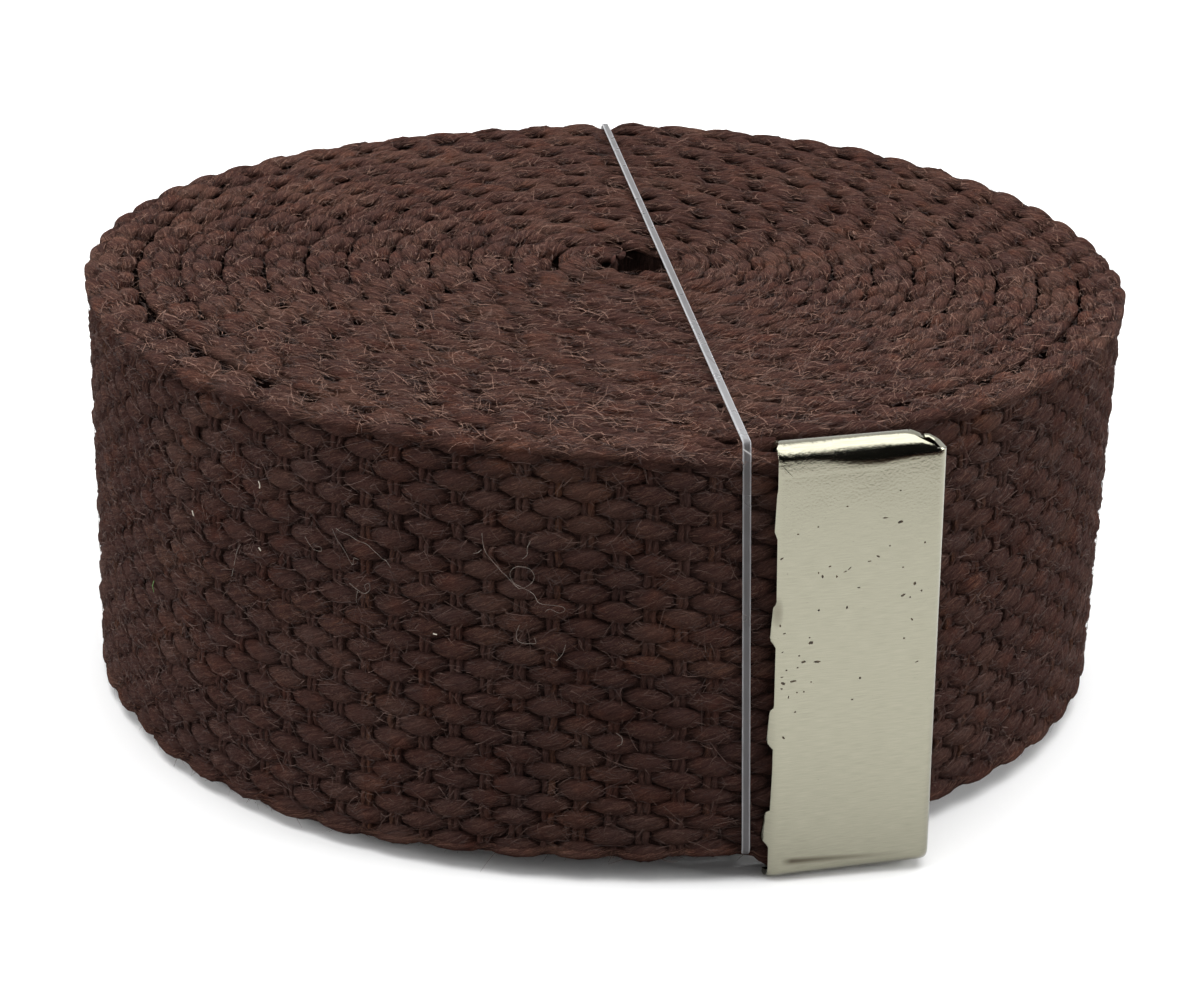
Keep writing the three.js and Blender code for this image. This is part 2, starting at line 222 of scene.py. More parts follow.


# %% [markdown]
# ## Yarns as tubes
# A yarn is a tube whose ring of points changes size along the way. Hundreds of yarns share one
# mesh. Every ring stores how far along its yarn it is, and every point how far round, in one UV
# map, so the material can twist plies and fibres along each yarn. A second value, `lift`, is 1
# on the crown of a float and 0 where the yarn dives under a weft, and the material paints shade
# into the dives by it.

# %% Tube bundles
def add_piece(name, mesh, material):
    """A finished mesh as a piece of the scene, on the part's one body."""
    mesh.materials.append(material)
    mesh.polygons.foreach_set("use_smooth", [True] * len(mesh.polygons))
    piece = bpy.data.objects.new(name, mesh)
    bpy.context.collection.objects.link(piece)
    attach(piece, "root")
    mesh.calc_loop_triangles()
    print(f"{name}: {len(mesh.loop_triangles)} triangles")
    return piece


class Bundle:
    def __init__(self):
        self.verts, self.faces, self.uv, self.lift, self.tone = [], [], [], [], []
        self.count = 0

    def add(self, rings, along, lift, tone=0.5, arc=None):
        """rings is (tubes, rings, points, 3), along and lift are (tubes, rings).
        arc gives the angles of the points, in turns, where a tube is open at its hidden back."""
        tubes, m, k, _ = rings.shape
        index = np.arange(tubes * m * k).reshape(tubes, m, k) + self.count
        around = np.arange(k + 1) / k if arc is None else np.asarray(arc)
        if arc is None:
            index = np.concatenate([index, index[:, :, :1]], 2)
        a, b = index[:, :-1], index[:, 1:]
        quads = np.stack([a[..., :-1], a[..., 1:], b[..., 1:], b[..., :-1]], -1).reshape(-1, 4)
        shape = (tubes, m - 1, len(around) - 1)
        u0, u1 = (np.broadcast_to(u[..., None], shape) for u in (along[:, :-1], along[:, 1:]))
        v0, v1 = (np.broadcast_to(v, shape) for v in (around[:-1], around[1:]))
        uv = np.stack([u0, v0, u0, v1, u1, v1, u1, v0], -1).reshape(-1, 2)
        self.faces.extend(quads.tolist())
        self.uv.append(uv)
        if arc is None:
            for ring, at in ((index[:, 0, -2::-1], along[:, 0]), (index[:, -1, :-1], along[:, -1])):
                self.faces.extend(ring.tolist())
                self.uv.append(np.repeat(np.stack([at, at * 0], 1), k, 0))
        tone = np.broadcast_to(np.asarray(tone, float).reshape(-1, 1), (tubes, m))
        self.verts.append(rings.reshape(-1, 3))
        self.lift.append(np.repeat(lift.reshape(-1), k))
        self.tone.append(np.repeat(tone.reshape(-1), k))
        self.count += tubes * m * k

    def build(self, name, material):
        mesh = bpy.data.meshes.new(name)
        mesh.from_pydata(np.concatenate(self.verts) * MM, [], self.faces)
        uv = mesh.uv_layers.new(name="yarn")
        uv.data.foreach_set("uv", np.concatenate(self.uv).astype(np.float32).ravel())
        for key, values in (("lift", self.lift), ("tone", self.tone)):
            layer = mesh.attributes.new(key, "FLOAT", "POINT")
            layer.data.foreach_set("value", np.concatenate(values).astype(np.float32))
        mesh.update()
        return add_piece(name, mesh, material)


def circle(count, start=0.0):
    a = start + np.arange(count) / count * 2 * math.pi
    return np.cos(a), np.sin(a)


def front_arc(count, reach=0.345):
    """Points over the front of a tube, `reach` turns to each side."""
    turns = np.linspace(-reach, reach, count)
    return turns, np.cos(turns * 2 * math.pi), np.sin(turns * 2 * math.pi)


# %% [markdown]
# ## Cotton yarn
# The yarn is dark brown cotton, several plies twisted together. Along and around each yarn the
# material draws the plies as slanting ridges, then finer fibres on top of them, and uses both for
# the bump. The grooves between the plies and the dives under the wefts are painted darker as shade,
# so crowns come out lighter than the hollows, and no two yarns have quite the same brown. Two node
# groups do it, one for the twist and one for the colour, and each kind of yarn gets its own values.

# %% Node helpers
def new_group(name, inputs, outputs):
    group = bpy.data.node_groups.new(name, "ShaderNodeTree")
    for label, kind, value in inputs:
        socket = group.interface.new_socket(label, in_out="INPUT", socket_type="NodeSocket" + kind)
        socket.default_value = value
    for label, kind in outputs:
        group.interface.new_socket(label, in_out="OUTPUT", socket_type="NodeSocket" + kind)
    return group, group.nodes.new("NodeGroupInput"), group.nodes.new("NodeGroupOutput")


def node(tree, kind, links=(), **settings):
    """New node. settings are node properties, or socket values by name or index in `values`."""
    new = tree.nodes.new(kind)
    values = settings.pop("values", {})
    for key, value in settings.items():
        setattr(new, key, value)
    for key, value in values.items():
        new.inputs[key].default_value = value
    for source, key in links:
        tree.links.new(source, new.inputs[key])
    return new


def math_node(tree, operation, *values):
    new = tree.nodes.new("ShaderNodeMath")
    new.operation = operation
    for socket, value in zip(new.inputs, values):
        if isinstance(value, (int, float)):
            socket.default_value = value
        else:
            tree.links.new(value, socket)
    return new.outputs[0]


def weighted(tree, *terms):
    """Sum of values, each times its weight."""
    total = None
    for value, weight in terms:
        term = math_node(tree, "MULTIPLY", value, weight)
        total = term if total is None else math_node(tree, "ADD", total, term)
    return total


def mix_colour(tree, factor, a, b, blend="MIX"):
    new = tree.nodes.new("ShaderNodeMix")
    new.data_type, new.blend_type = "RGBA", blend
    for value, key in ((factor, 0), (a, 6), (b, 7)):
        if hasattr(value, "node"):
            tree.links.new(value, new.inputs[key])
        else:
            new.inputs[key].default_value = value
    return new.outputs[2]


def mapped(tree, value, low, high, to_low=0.0, to_high=1.0):
    new = tree.nodes.new("ShaderNodeMapRange")
    tree.links.new(value, new.inputs[0])
    for i, number in enumerate((low, high, to_low, to_high)):
        new.inputs[i + 1].default_value = number
    return new.outputs[0]


# %% Node group: twist of a yarn
def twist_group():
    g, gin, gout = new_group("Twisted plies", [
        ("Along", "Float", 0.0), ("Around", "Float", 0.0), ("Plies", "Float", 4.0),
        ("Twist per mm", "Float", 0.07), ("Strand scale", "Float", 3.0)],
        [("Ridge", "Float"), ("Strand", "Float"), ("Height", "Float")])
    along, around, plies, twist, scale = gin.outputs[:5]
    turn = math_node(g, "ADD", around, math_node(g, "MULTIPLY", along, twist))
    wobble = node(g, "ShaderNodeTexNoise", [(along, "W")], noise_dimensions="1D",
                  values={"Scale": 0.9, "Detail": 2.0})
    turn = math_node(g, "ADD", turn, math_node(g, "MULTIPLY", wobble.outputs[0], 0.07))
    angle = math_node(g, "MULTIPLY", math_node(g, "MULTIPLY", turn, plies), math.pi)
    ridge = math_node(g, "POWER", math_node(g, "ABSOLUTE", math_node(g, "SINE", angle)), 0.55)
    across = math_node(g, "MULTIPLY", turn, 2 * math.pi)

    def strands(reach, run, detail):
        """Fibres as noise drawn out along the twist: reach sets how thin, run how short they are."""
        spot = node(g, "ShaderNodeCombineXYZ", [
            (math_node(g, "MULTIPLY", along, run), "X"),
            (math_node(g, "MULTIPLY", math_node(g, "SINE", across), reach), "Y"),
            (math_node(g, "MULTIPLY", math_node(g, "COSINE", across), reach), "Z")])
        noise = node(g, "ShaderNodeTexNoise", [(spot.outputs[0], "Vector"), (scale, "Scale")],
                     values={"Detail": detail, "Roughness": 0.6})
        return mapped(g, noise.outputs[0], 0.33, 0.67)

    coarse, fine, short = strands(0.9, 0.16, 1.0), strands(1.9, 0.35, 2.0), strands(3.6, 1.4, 3.0)
    strand = weighted(g, (coarse, 0.28), (fine, 0.42), (short, 0.52))
    g.links.new(ridge, gout.inputs["Ridge"])
    g.links.new(strand, gout.inputs["Strand"])
    g.links.new(weighted(g, (ridge, 0.45), (strand, 1.1)), gout.inputs["Height"])
    return g


# %% Node group: colour of worn dyed cotton, with painted shade in its hollows
def cotton_group():
    g, gin, gout = new_group("Dyed cotton with painted shade", [
        ("Ridge", "Float", 0.5), ("Strand", "Float", 0.5), ("Lift", "Float", 0.5),
        ("Tone", "Float", 0.5), ("Deep", "Color", (0.026, 0.013, 0.012, 1)),
        ("Body", "Color", (0.094, 0.044, 0.036, 1)), ("Rubbed", "Color", (0.22, 0.125, 0.095, 1))],
        [("Colour", "Color")])
    ridge, strand, lift, tone, hollow_shade, body, rubbed = gin.outputs[:7]
    position = node(g, "ShaderNodeTexCoord").outputs["Object"]
    drift = node(g, "ShaderNodeTexNoise", [(position, "Vector")], values={"Scale": 160.0, "Detail": 3.0})
    # Painted shade: the grooves between plies (ridge) and the dives under wefts (lift) darken the colour
    # towards the hollow shade
    shade = weighted(g, (ridge, 0.3), (lift, 0.45), (strand, 0.5))
    base = mix_colour(g, mapped(g, shade, 0.3, 1.0), hollow_shade, body)
    drifting = mapped(g, drift.outputs[0], 0.38, 0.72, -0.16, 0.24)
    light = math_node(g, "ADD", mapped(g, strand, 0.62, 1.1), drifting)
    light = math_node(g, "MULTIPLY", light, math_node(g, "ADD", math_node(g, "MULTIPLY", tone, 0.8), 0.3))
    warm = mix_colour(g, mapped(g, tone, 0.6, 1.0), rubbed, (0.24, 0.105, 0.052, 1))
    colour = mix_colour(g, math_node(g, "MINIMUM", light, 0.9), base, warm)

    # The dye took unevenly: patches a little greyer and patches a little redder
    cast = node(g, "ShaderNodeTexNoise", [(position, "Vector")], values={"Scale": 420.0, "Detail": 2.0})
    for start, full, most, tint in ((0.5, 0.72, 0.45, (0.95, 1.12, 1.25, 1)),
                                    (0.45, 0.28, 0.5, (1.3, 0.98, 0.82, 1))):
        share = mapped(g, cast.outputs[0], start, full, 0.0, most)
        tinted = mix_colour(g, 1.0, colour, tint, "MULTIPLY")
        colour = mix_colour(g, share, colour, tinted)
    g.links.new(colour, gout.inputs["Colour"])
    return g


TWIST, COTTON = twist_group(), cotton_group()
print("node groups:", TWIST.name, "and", COTTON.name)


# %% Materials of the webbing
def principled(name, **values):
    material = bpy.data.materials.new(name)
    material.use_nodes = True
    shader = material.node_tree.nodes["Principled BSDF"]
    for key, value in values.items():
        shader.inputs[key.replace("_", " ")].default_value = value
    return material, material.node_tree, shader


def group_node(tree, group, links=(), **values):
    new = tree.nodes.new("ShaderNodeGroup")
    new.node_tree = group
    for key, value in values.items():
        new.inputs[key.replace("_", " ")].default_value = value
    for source, key in links:
        tree.links.new(source, new.inputs[key])
    return new


def yarn_material(name, plies, twist, scale, bump, **colours):
    """Cotton yarn. colours are the painted hollow shade, body and rubbed browns where they aren't the
    group's own.
    """
    material, tree, shader = principled(name, Roughness=0.95, Specular_IOR_Level=0.05)
    uv = node(tree, "ShaderNodeUVMap", uv_map="yarn")
    parts = node(tree, "ShaderNodeSeparateXYZ", [(uv.outputs[0], 0)])
    lift = node(tree, "ShaderNodeAttribute", attribute_name="lift")
    tone = node(tree, "ShaderNodeAttribute", attribute_name="tone")
    ply = group_node(tree, TWIST, [(parts.outputs[0], "Along"), (parts.outputs[1], "Around")],
                     Plies=plies, Twist_per_mm=twist, Strand_scale=scale)
    cloth = group_node(tree, COTTON, [(ply.outputs["Ridge"], "Ridge"), (ply.outputs["Strand"], "Strand"),
                                      (lift.outputs["Fac"], "Lift"), (tone.outputs["Fac"], "Tone")])
    for key, colour in colours.items():
        cloth.inputs[key].default_value = (*colour, 1)
    bumped = node(tree, "ShaderNodeBump", [(ply.outputs["Height"], "Height")],
                  values={"Strength": 1.0, "Distance": bump})
    tree.links.new(cloth.outputs["Colour"], shader.inputs["Base Color"])
    tree.links.new(bumped.outputs[0], shader.inputs["Normal"])
    return material


warp_cotton = yarn_material("Warp cotton", 6, 0.12, 4.0, 0.00040)
# A paler copy of the warp cotton: the edges are rubbed, and the paler colour also paints the stronger light
# that falls on the tops of the turns
edge_cotton_with_painted_light = yarn_material("Rubbed edge cotton with painted light", 6, 0.12, 4.0, 0.00052, Deep=(0.022, 0.010, 0.008),
                            Body=(0.116, 0.053, 0.043), Rubbed=(0.38, 0.21, 0.16))
weft_cotton = yarn_material("Weft cotton", 6, 0.16, 4.5, 0.00030, Deep=(0.026, 0.013, 0.012),
                            Body=(0.094, 0.045, 0.037), Rubbed=(0.19, 0.11, 0.085))
# A darker copy of the cotton: the inner warp is painted darker, as the shade in the gaps
shaded_inner_cloth = yarn_material("Inner cloth in painted shade", 60, 0.0, 30.0, 0.00017, Deep=(0.02, 0.01, 0.008),
                            Body=(0.05, 0.024, 0.019), Rubbed=(0.10, 0.05, 0.04))
print("webbing materials ready")


# %% [markdown]
# ## The body of the cloth
# Between the yarns of both faces lies the inner warp, which is only seen as darkness in the gaps.
# Weaving it too would cost many triangles that nobody sees, so one thin ribbon along the whole
# strap stands for it. The cloth is 1 1/4 inch web, cut to the length of the middle line.

# %% Inner ribbon
RIBBON = {"half_thick": 0.88, "half_high": WEB_WIDTH / 2 - 0.85, "corner": 0.3, "step": 3.0}


def ribbon(name, material):
    bend_end, curl_start = AT_MOUTH + 12, CUT_END - 14
    s = np.concatenate([np.arange(0, bend_end, RIBBON["step"] / 2),
                        np.arange(bend_end, curl_start, RIBBON["step"]),
                        np.linspace(curl_start, CUT_END - 0.8, 24)])
    n, h, c = RIBBON["half_thick"], RIBBON["half_high"], RIBBON["corner"]
    profile = np.array([(-n, -h + c), (-n, 0), (-n, h - c), (-n + c, h), (n - c, h),
                        (n, h - c), (n, 0), (n, -h + c), (n - c, -h), (-n + c, -h)])
    rings = place(s[:, None], profile[:, 0], profile[:, 1])
    bundle = Bundle()
    bundle.add(rings[None], s[None], np.zeros((1, len(s))), 0.2)
    return bundle.build(name, material)


webbing = ribbon("webbing_ground", shaded_inner_cloth)
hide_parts("webbing_strap")

# %% [markdown]
# ## Warp floats on the outer face
# Rows of thick warp yarn run along the strap. Each passes over three wefts, a float, and under the
# fourth, and the next row does the same half a repeat further, like bricks. A float swells where
# it lies free and tucks in where it dives, so floats of neighbouring rows close up like scales.
# Only the outermost turn shows its face, so only that gets all rows.

# %% Weave sizes
ROWS = 25
ROW_PITCH = 1.25
REPEAT = 4.37
FLOAT_SHARE = 0.83                      # a float's part of a repeat, the rest is the dive
FACE_END = 292.0                        # a full turn and the part under the tip
# A float in its dive, and what its crown adds: how far out its middle is, half its width and depth
FLOAT_OUT, FLOAT_HALF_WIDE, FLOAT_HALF_DEEP = (0.62, 0.34), (0.30, 0.49), (0.28, 0.12)
FLOAT_LEAN = 0.14

CYCLE = ARC / REPEAT
print(f"{ROWS} rows of warp, {FACE_END / REPEAT:.0f} floats in each row of the outer face")


def place_of_cycle(cycle):
    return np.interp(cycle, CYCLE, ARC)


def float_shape(cycle, share=FLOAT_SHARE, fullness=2.2, sharpness=0.85):
    """0 in the dive, rising quickly to 1 along a float."""
    q = np.clip(np.mod(cycle, 1.0) / share, 0, 1)
    return (1 - np.abs(2 * q - 1) ** fullness) ** sharpness


def ring_cycles(start, stop, share, count):
    """Ring places in weave repeats, closest together at both ends of every float."""
    t = (1 - np.cos(np.linspace(0, math.pi, count))) / 2
    one = np.concatenate([t * share, [share + (1 - share) / 2]])
    return (np.arange(math.floor(start), math.ceil(stop))[:, None] + one).ravel()


# %% Rows of warp on the outer face
def warp_rows(bundle, rows, start, stop, count, points):
    turns, c, d = front_arc(points)
    first, last = np.interp([start, stop], ARC, CYCLE)
    for row in rows:
        h = (row - (ROWS - 1) / 2) * ROW_PITCH
        phase = 0.5 * (row % 2)
        k = ring_cycles(first + 1, last - 1, FLOAT_SHARE, count)
        floats = np.floor(k).astype(int)
        own = rng.normal(0, 1, (floats.max() + 2, 4))[floats]
        s = place_of_cycle(k + phase + 0.030 * own[:, 0])
        # A float rises, widens and leans over a little, each by its own measure
        arch = float_shape(k)
        n = FLOAT_OUT[0] + (FLOAT_OUT[1] + 0.05 * own[:, 1]) * arch
        half_h = FLOAT_HALF_WIDE[0] + (FLOAT_HALF_WIDE[1] + 0.035 * own[:, 2]) * arch
        half_n = FLOAT_HALF_DEEP[0] + FLOAT_HALF_DEEP[1] * arch
        lean = FLOAT_LEAN * (np.mod(k, 1.0) / FLOAT_SHARE - 0.5) * arch
        plies = (0.05 * np.sin(4.6 * s[:, None] + 16 * turns + own[:, :1]) * arch[:, None]
                 + 0.04 * np.sin(8.3 * s[:, None] - 21 * turns + row))
        rings = place(s[:, None], n[:, None] + (half_n[:, None] + plies) * c,
                      (h + 0.045 * own[:, 3] + lean)[:, None] + (half_h[:, None] + plies) * d)
        shade = np.mod(own[:, 1] * 3.7 + row * 0.37, 1.0)
        # lift paints shade into the dives, with a little random change from float to float
        lift = arch * 0.85 + 0.15 * shade
        bundle.add(rings[None], s[None] + row * 7.3, lift[None], rng.uniform(0.25, 0.75), turns)


for name, rows in (("warp_face_lower", range(0, 13)), ("warp_face_upper", range(13, ROWS))):
    bundle = Bundle()
    warp_rows(bundle, rows, 0.5, FACE_END, 12, 8)
    bundle.build(name, warp_cotton)

# %% [markdown]
# ## Wefts between the floats
# Where a warp row dives, two thin wefts side by side cross over it. They run straight up the
# strap, hidden under the floats of the next rows, and bulge a little in every gap. Each weft is
# one tube from edge to edge, and the gaps are a cosine of the row, so no weft is placed by hand.

# %% Weft pairs on the outer face
WEFT = {"apart": 0.42, "half_wide": 0.27, "half_deep": 0.24}


def weft_pairs(name, start, stop):
    first, last = np.interp([start, stop], ARC, CYCLE) * 2
    h = np.linspace(-WEB_WIDTH / 2 + 0.5, WEB_WIDTH / 2 - 0.5, ROWS * 2 + 1)
    row = h / ROW_PITCH + (ROWS - 1) / 2
    bundle = Bundle()
    turns, c, d = front_arc(5, 0.28)
    for half in range(math.ceil(first), math.floor(last)):
        column = place_of_cycle(half / 2 + FLOAT_SHARE / 2)
        diving = (half + 1) % 2
        in_gap = 0.5 + 0.5 * np.cos((row - diving) * math.pi)
        for offset in (-WEFT["apart"] / 2, WEFT["apart"] / 2):
            s = column + offset + rng.normal(0, 0.05, len(h))
            n = 0.60 + (0.36 + rng.normal(0, 0.07, len(h))) * in_gap
            rings = place(s[:, None] + WEFT["half_wide"] * d, n[:, None] + WEFT["half_deep"] * c,
                          h[:, None] + 0 * c)
            # Painted shade: the wefts are darker where they run under the floats
            lift = 0.3 + 0.6 * in_gap
            bundle.add(rings[None], h[None] + half * 4.4, lift[None], rng.uniform(0, 1), turns)
    return bundle.build(name, weft_cotton)


weft_pairs("weft_face", AT_MOUTH + 0.6, FACE_END)

# %% [markdown]
# ## Selvedges
# Seen from above, every turn shows its edge: a thick middle yarn, and on both sides of it the last
# warp row of a face, which dives once in every repeat. These dives leave the dark hollows that
# stand like bricks between the turns. Each edge yarn is one tube along the whole strap. Beside the
# tip the roll leaves a wedge open, and a slack yarn lies in it.

# %% Edges of all turns
# Place across the edge, phase, share of a float in a repeat, and depth of the dives.
# The middle yarn rises and falls without diving.
EDGE_YARNS = ((1.02, 0.0, 0.78, 0.65), (0.0, 0.31, 0.80, None), (-1.02, 0.5, 0.70, 1.6))
# The slack yarn: places along the strap, and its distance behind the strap's middle there
SLACK_ALONG, SLACK_BEHIND = (11, 13, 18, 23), (-2.3, -2.15, -1.85, -1.5)


def slack_yarn(bundle, edge, c, d):
    s = np.linspace(AT_MOUTH - 0.6, SLACK_ALONG[-1], 48)
    n = np.interp(s, SLACK_ALONG, SLACK_BEHIND) / fullness(s, -1) + 0.05 * np.sin(s * 2.3)
    size = 0.62 - 0.02 * (s - 11) + 0.05 * np.sin(s * 1.7)
    h = edge - 0.55 + 0.10 * np.sin(s * 1.3)
    rings = place(s[:, None], n[:, None] + size[:, None] * c * 0.8, h[:, None] + size[:, None] * d)
    bundle.add(rings[None], s[None], 0.6 + 0.4 * np.sin(s * 1.3)[None], 0.5)


def selvedge(name, top, count, sides):
    bundle = Bundle()
    sign = 1 if top else -1
    c, d = circle(sides, math.pi / sides)
    edge = WEB_WIDTH / 2
    for n0, phase, share, dive in EDGE_YARNS:
        k = ring_cycles(CYCLE[0], CYCLE[-1] - 1, share, count)
        own = rng.normal(0, 1, (int(k.max()) + 2, 4))[np.floor(k).astype(int)]
        s = place_of_cycle(k + phase + 0.02 * own[:, 0])
        arch = float_shape(k, share)
        keep = (s > 0.4) & (s < CUT_END)
        s, arch, own = s[keep], arch[keep], own[keep]
        if dive is None:
            n = 0.05 * own[:, 1]
            h = edge - 0.55 + 0.16 * arch + 0.04 * own[:, 2]
            half_n, half_h = 0.56 + 0.10 * arch, 0.36 + 0.05 * arch
        else:
            dived = dive * (1 - arch)
            n = n0 * (0.98 - 0.12 * dived) + 0.04 * own[:, 1]
            h = edge - 0.54 - 0.34 * dived + 0.05 * own[:, 2]
            half_n, half_h = 0.55 - 0.09 * dived, 0.45 - 0.07 * dived
        rings = place(s[:, None], n[:, None] + half_n[:, None] * c,
                      sign * h[:, None] + half_h[:, None] * d)
        # The arch, as lift, paints shade into the dives
        bundle.add(rings[None], s[None] + n0 * 31, arch[None], 0.75)
    if top:
        slack_yarn(bundle, edge, c, d)
    return bundle.build(name, edge_cotton_with_painted_light)


selvedge("top_edge_yarns", True, 8, 8)
selvedge("bottom_edge_yarns", False, 5, 6)

# %% [markdown]
# ## The belt tip
# The tip is one piece of nickel-plated sheet: a front plate whose upper and lower edges are bent
# over the strap's edges, and a fold at the far end that carries it on to a back plate. A box with
# rounded edges would lose the fold and the cut corners. So the sheet's surface is laid out as two
# grids, and Solidify gives it its thickness. The corners beside the fold are cut off, and the edge
# at the mouth has four small teeth pressed into the webbing.

# %% Tip surface
UPPER_RISE, LOWER_RISE = 1.67, 1.2              # height of the rounded upper and lower bends
# The upper bend was hammered unevenly: place along the tip, share of its height
UPPER_BEND = np.array([(0.0, 0.57), (2.5, 0.62), (5.0, 0.97), (7.0, 1.0), (9.2, 0.8), (11.7, 0.78)])
UPPER_CUT = {"along": 2.5, "down": 1.5}         # corners cut off beside the fold
LOWER_CUT = {"along": 0.85, "down": 0.5}
FOLD_RADIUS = 0.9
FOLD_START = TIP_WIDTH - FOLD_RADIUS
# The mouth's edge isn't quite straight: height, place along the tip where the plate starts
MOUTH_EDGE = np.array([(0.0, -0.36), (4.0, -0.34), (9.0, -0.2), (20.0, -0.15), (33.1, -0.22)])
# Teeth: middle and root length as shares of the tip's height, reach
TEETH = np.array([(0.853, 0.110, 0.30), (0.612, 0.110, 0.42), (0.373, 0.110, 0.50), (0.133, 0.098, 0.72)])


def depth_left(v):
    """Share of the tip's depth that is left where its upper and lower edges bend over."""
    d = np.where(v < TIP_HEIGHT / 2, v / LOWER_RISE, (TIP_HEIGHT - v) / UPPER_RISE)
    return np.sqrt(1 - (1 - np.clip(d, 0, 1)) ** 2)


def corner_cut(u, v):
    """Height that the cut corner takes away at a place along the tip."""
    cut = np.where(v < TIP_HEIGHT / 2, LOWER_CUT["down"] * (1 - (TIP_WIDTH - u) / LOWER_CUT["along"]),
                   UPPER_CUT["down"] * (1 - (TIP_WIDTH - u) / UPPER_CUT["along"]))
    return np.clip(cut, 0, None)


def plate_heights(middle):
    """Heights from the lower to the upper crest: both bends finely, `middle` steps between."""
    a = np.linspace(0, math.pi / 2, 11)
    low = LOWER_RISE * (1 - np.cos(a))
    high = TIP_HEIGHT - UPPER_RISE * (1 - np.cos(a[::-1]))
    return np.concatenate([low, np.linspace(low[-1], high[0], middle)[1:-1], high])


def hammered(u, v):
    """Height of a point on the front after the upper bend was hammered flatter in places."""
    share = np.interp(u, UPPER_BEND[:, 0], UPPER_BEND[:, 1])
    bend = TIP_HEIGHT - UPPER_RISE
    in_bend = TIP_HEIGHT - (TIP_HEIGHT - v) * share
    below = v + UPPER_RISE * (1 - share) * smooth(v, bend - 5, bend)
    return np.where(v > bend, in_bend, below)


# %% Both plates of the tip
def plate_start(v, on_front):
    """Where the plate starts at each height: the mouth's edge, its teeth and a rounded crest."""
    start = np.interp(v, MOUTH_EDGE[:, 0], MOUTH_EDGE[:, 1]) * on_front
    for middle, root, reach in TEETH:
        below, half_root = middle * TIP_HEIGHT - v, root * TIP_HEIGHT / 2
        away = np.abs(below) / half_root
        lean = 1 + 0.25 * np.clip(below / half_root, -1, 1)
        bump = -reach * lean * smooth(1.06 - away, 0.0, 0.42)
        start = np.where(on_front, np.minimum(start, bump), start)
    return start + 0.3 * np.clip(1 - (TIP_HEIGHT - v) / 0.45, 0, 1) ** 2


def plate_grid(front, back):
    """Both plates and the bends that join them: points, faces, and where each row ends."""
    half = TIP_THICKNESS / 2
    w = np.concatenate([half * (1 - depth_left(front)), half * (1 + depth_left(back))])
    v = np.concatenate([front, back])
    on_front = np.arange(len(w)) < len(front)
    start = plate_start(v, on_front)
    cut = UPPER_CUT["along"] * np.clip(1 - (TIP_HEIGHT - v) / UPPER_CUT["down"], 0, 1)
    end = np.minimum(FOLD_START, TIP_WIDTH - cut)
    share = np.concatenate([[0, 0.012, 0.03, 0.05], np.linspace(0.08, 1, 20)])
    u = start[:, None] + (end - start)[:, None] * share
    depth = w[:, None] + 0.9 * np.clip(0.12 - u, 0, None) ** 1.5 * on_front[:, None]
    height = np.repeat(v[:, None], u.shape[1], 1)
    height = np.where(on_front[:, None], hammered(u, height), height)
    index = np.arange(u.size).reshape(u.shape)
    below = np.roll(index, -1, 0)
    quads = np.stack([index[:, :-1], index[:, 1:], below[:, 1:], below[:, :-1]], -1).reshape(-1, 4)
    return tip_point(u, height, depth).reshape(-1, 3), quads, end


# %% Fold and mesh of the tip
def fold_grid(kept, first_index):
    """The fold: the rows at the kept heights go round a half turn from the front to the back."""
    r, t = FOLD_RADIUS, TIP_THICKNESS
    a = np.linspace(-math.pi / 2, 0, 9)
    path = np.concatenate([np.stack([FOLD_START + r * np.cos(a), r + r * np.sin(a)], 1),
                           np.stack([FOLD_START + r * np.cos(-a[::-1]), t - r + r * np.sin(-a[::-1])], 1)])
    u, kept = np.broadcast_arrays(path[:, :1], kept[None])
    lower = kept < TIP_HEIGHT / 2
    d = np.where(lower, kept, TIP_HEIGHT - kept)
    first = np.where(lower, kept.min(), TIP_HEIGHT - kept.max())
    rise = np.where(lower, LOWER_RISE, UPPER_RISE)
    cut = np.maximum(corner_cut(u, kept), first)
    d = np.where(d < rise, cut + (d - first) * (rise - cut) / (rise - first), d)
    v = np.where(lower, d, TIP_HEIGHT - d)
    w = t / 2 + (path[:, 1:] - t / 2) * depth_left(v)
    index = np.arange(v.size).reshape(v.shape) + first_index
    quads = np.stack([index[:-1, :-1], index[1:, :-1], index[1:, 1:], index[:-1, 1:]], -1).reshape(-1, 4)
    return tip_point(u, hammered(u, v), w).reshape(-1, 3), quads


def tip_mesh(name):
    front, back = plate_heights(132), plate_heights(30)[::-1][1:-1]
    plates, quads, end = plate_grid(front, back)
    fold, more = fold_grid(front[end[:len(front)] >= FOLD_START - 1e-6], len(plates))
    points = np.concatenate([plates, fold])
    mesh = bpy.data.meshes.new(name)
    mesh.from_pydata(points * MM, [], np.concatenate([quads, more]).tolist())
    x, y, _ = tip_axes()
    flat = points - np.array([*TIP_MOUTH, 0])
    plate_uv = np.stack([flat @ x, flat @ y], 1)
    uv = mesh.uv_layers.new(name="plate")
    loops = np.empty(len(mesh.loops), int)
    mesh.loops.foreach_get("vertex_index", loops)
    uv.data.foreach_set("uv", plate_uv[loops].astype(np.float32).ravel())
    return mesh


# %% [markdown]
# ## Nickel plate
# The plate is bright but handled: fine rub lines, faint dark pits where the plating failed, a brown
# smudge along the lower bend, a stain at the mouth, and small dents where the upper bend was
# hammered. Masks made in the plate's own coordinates place these marks, in a group of their own.

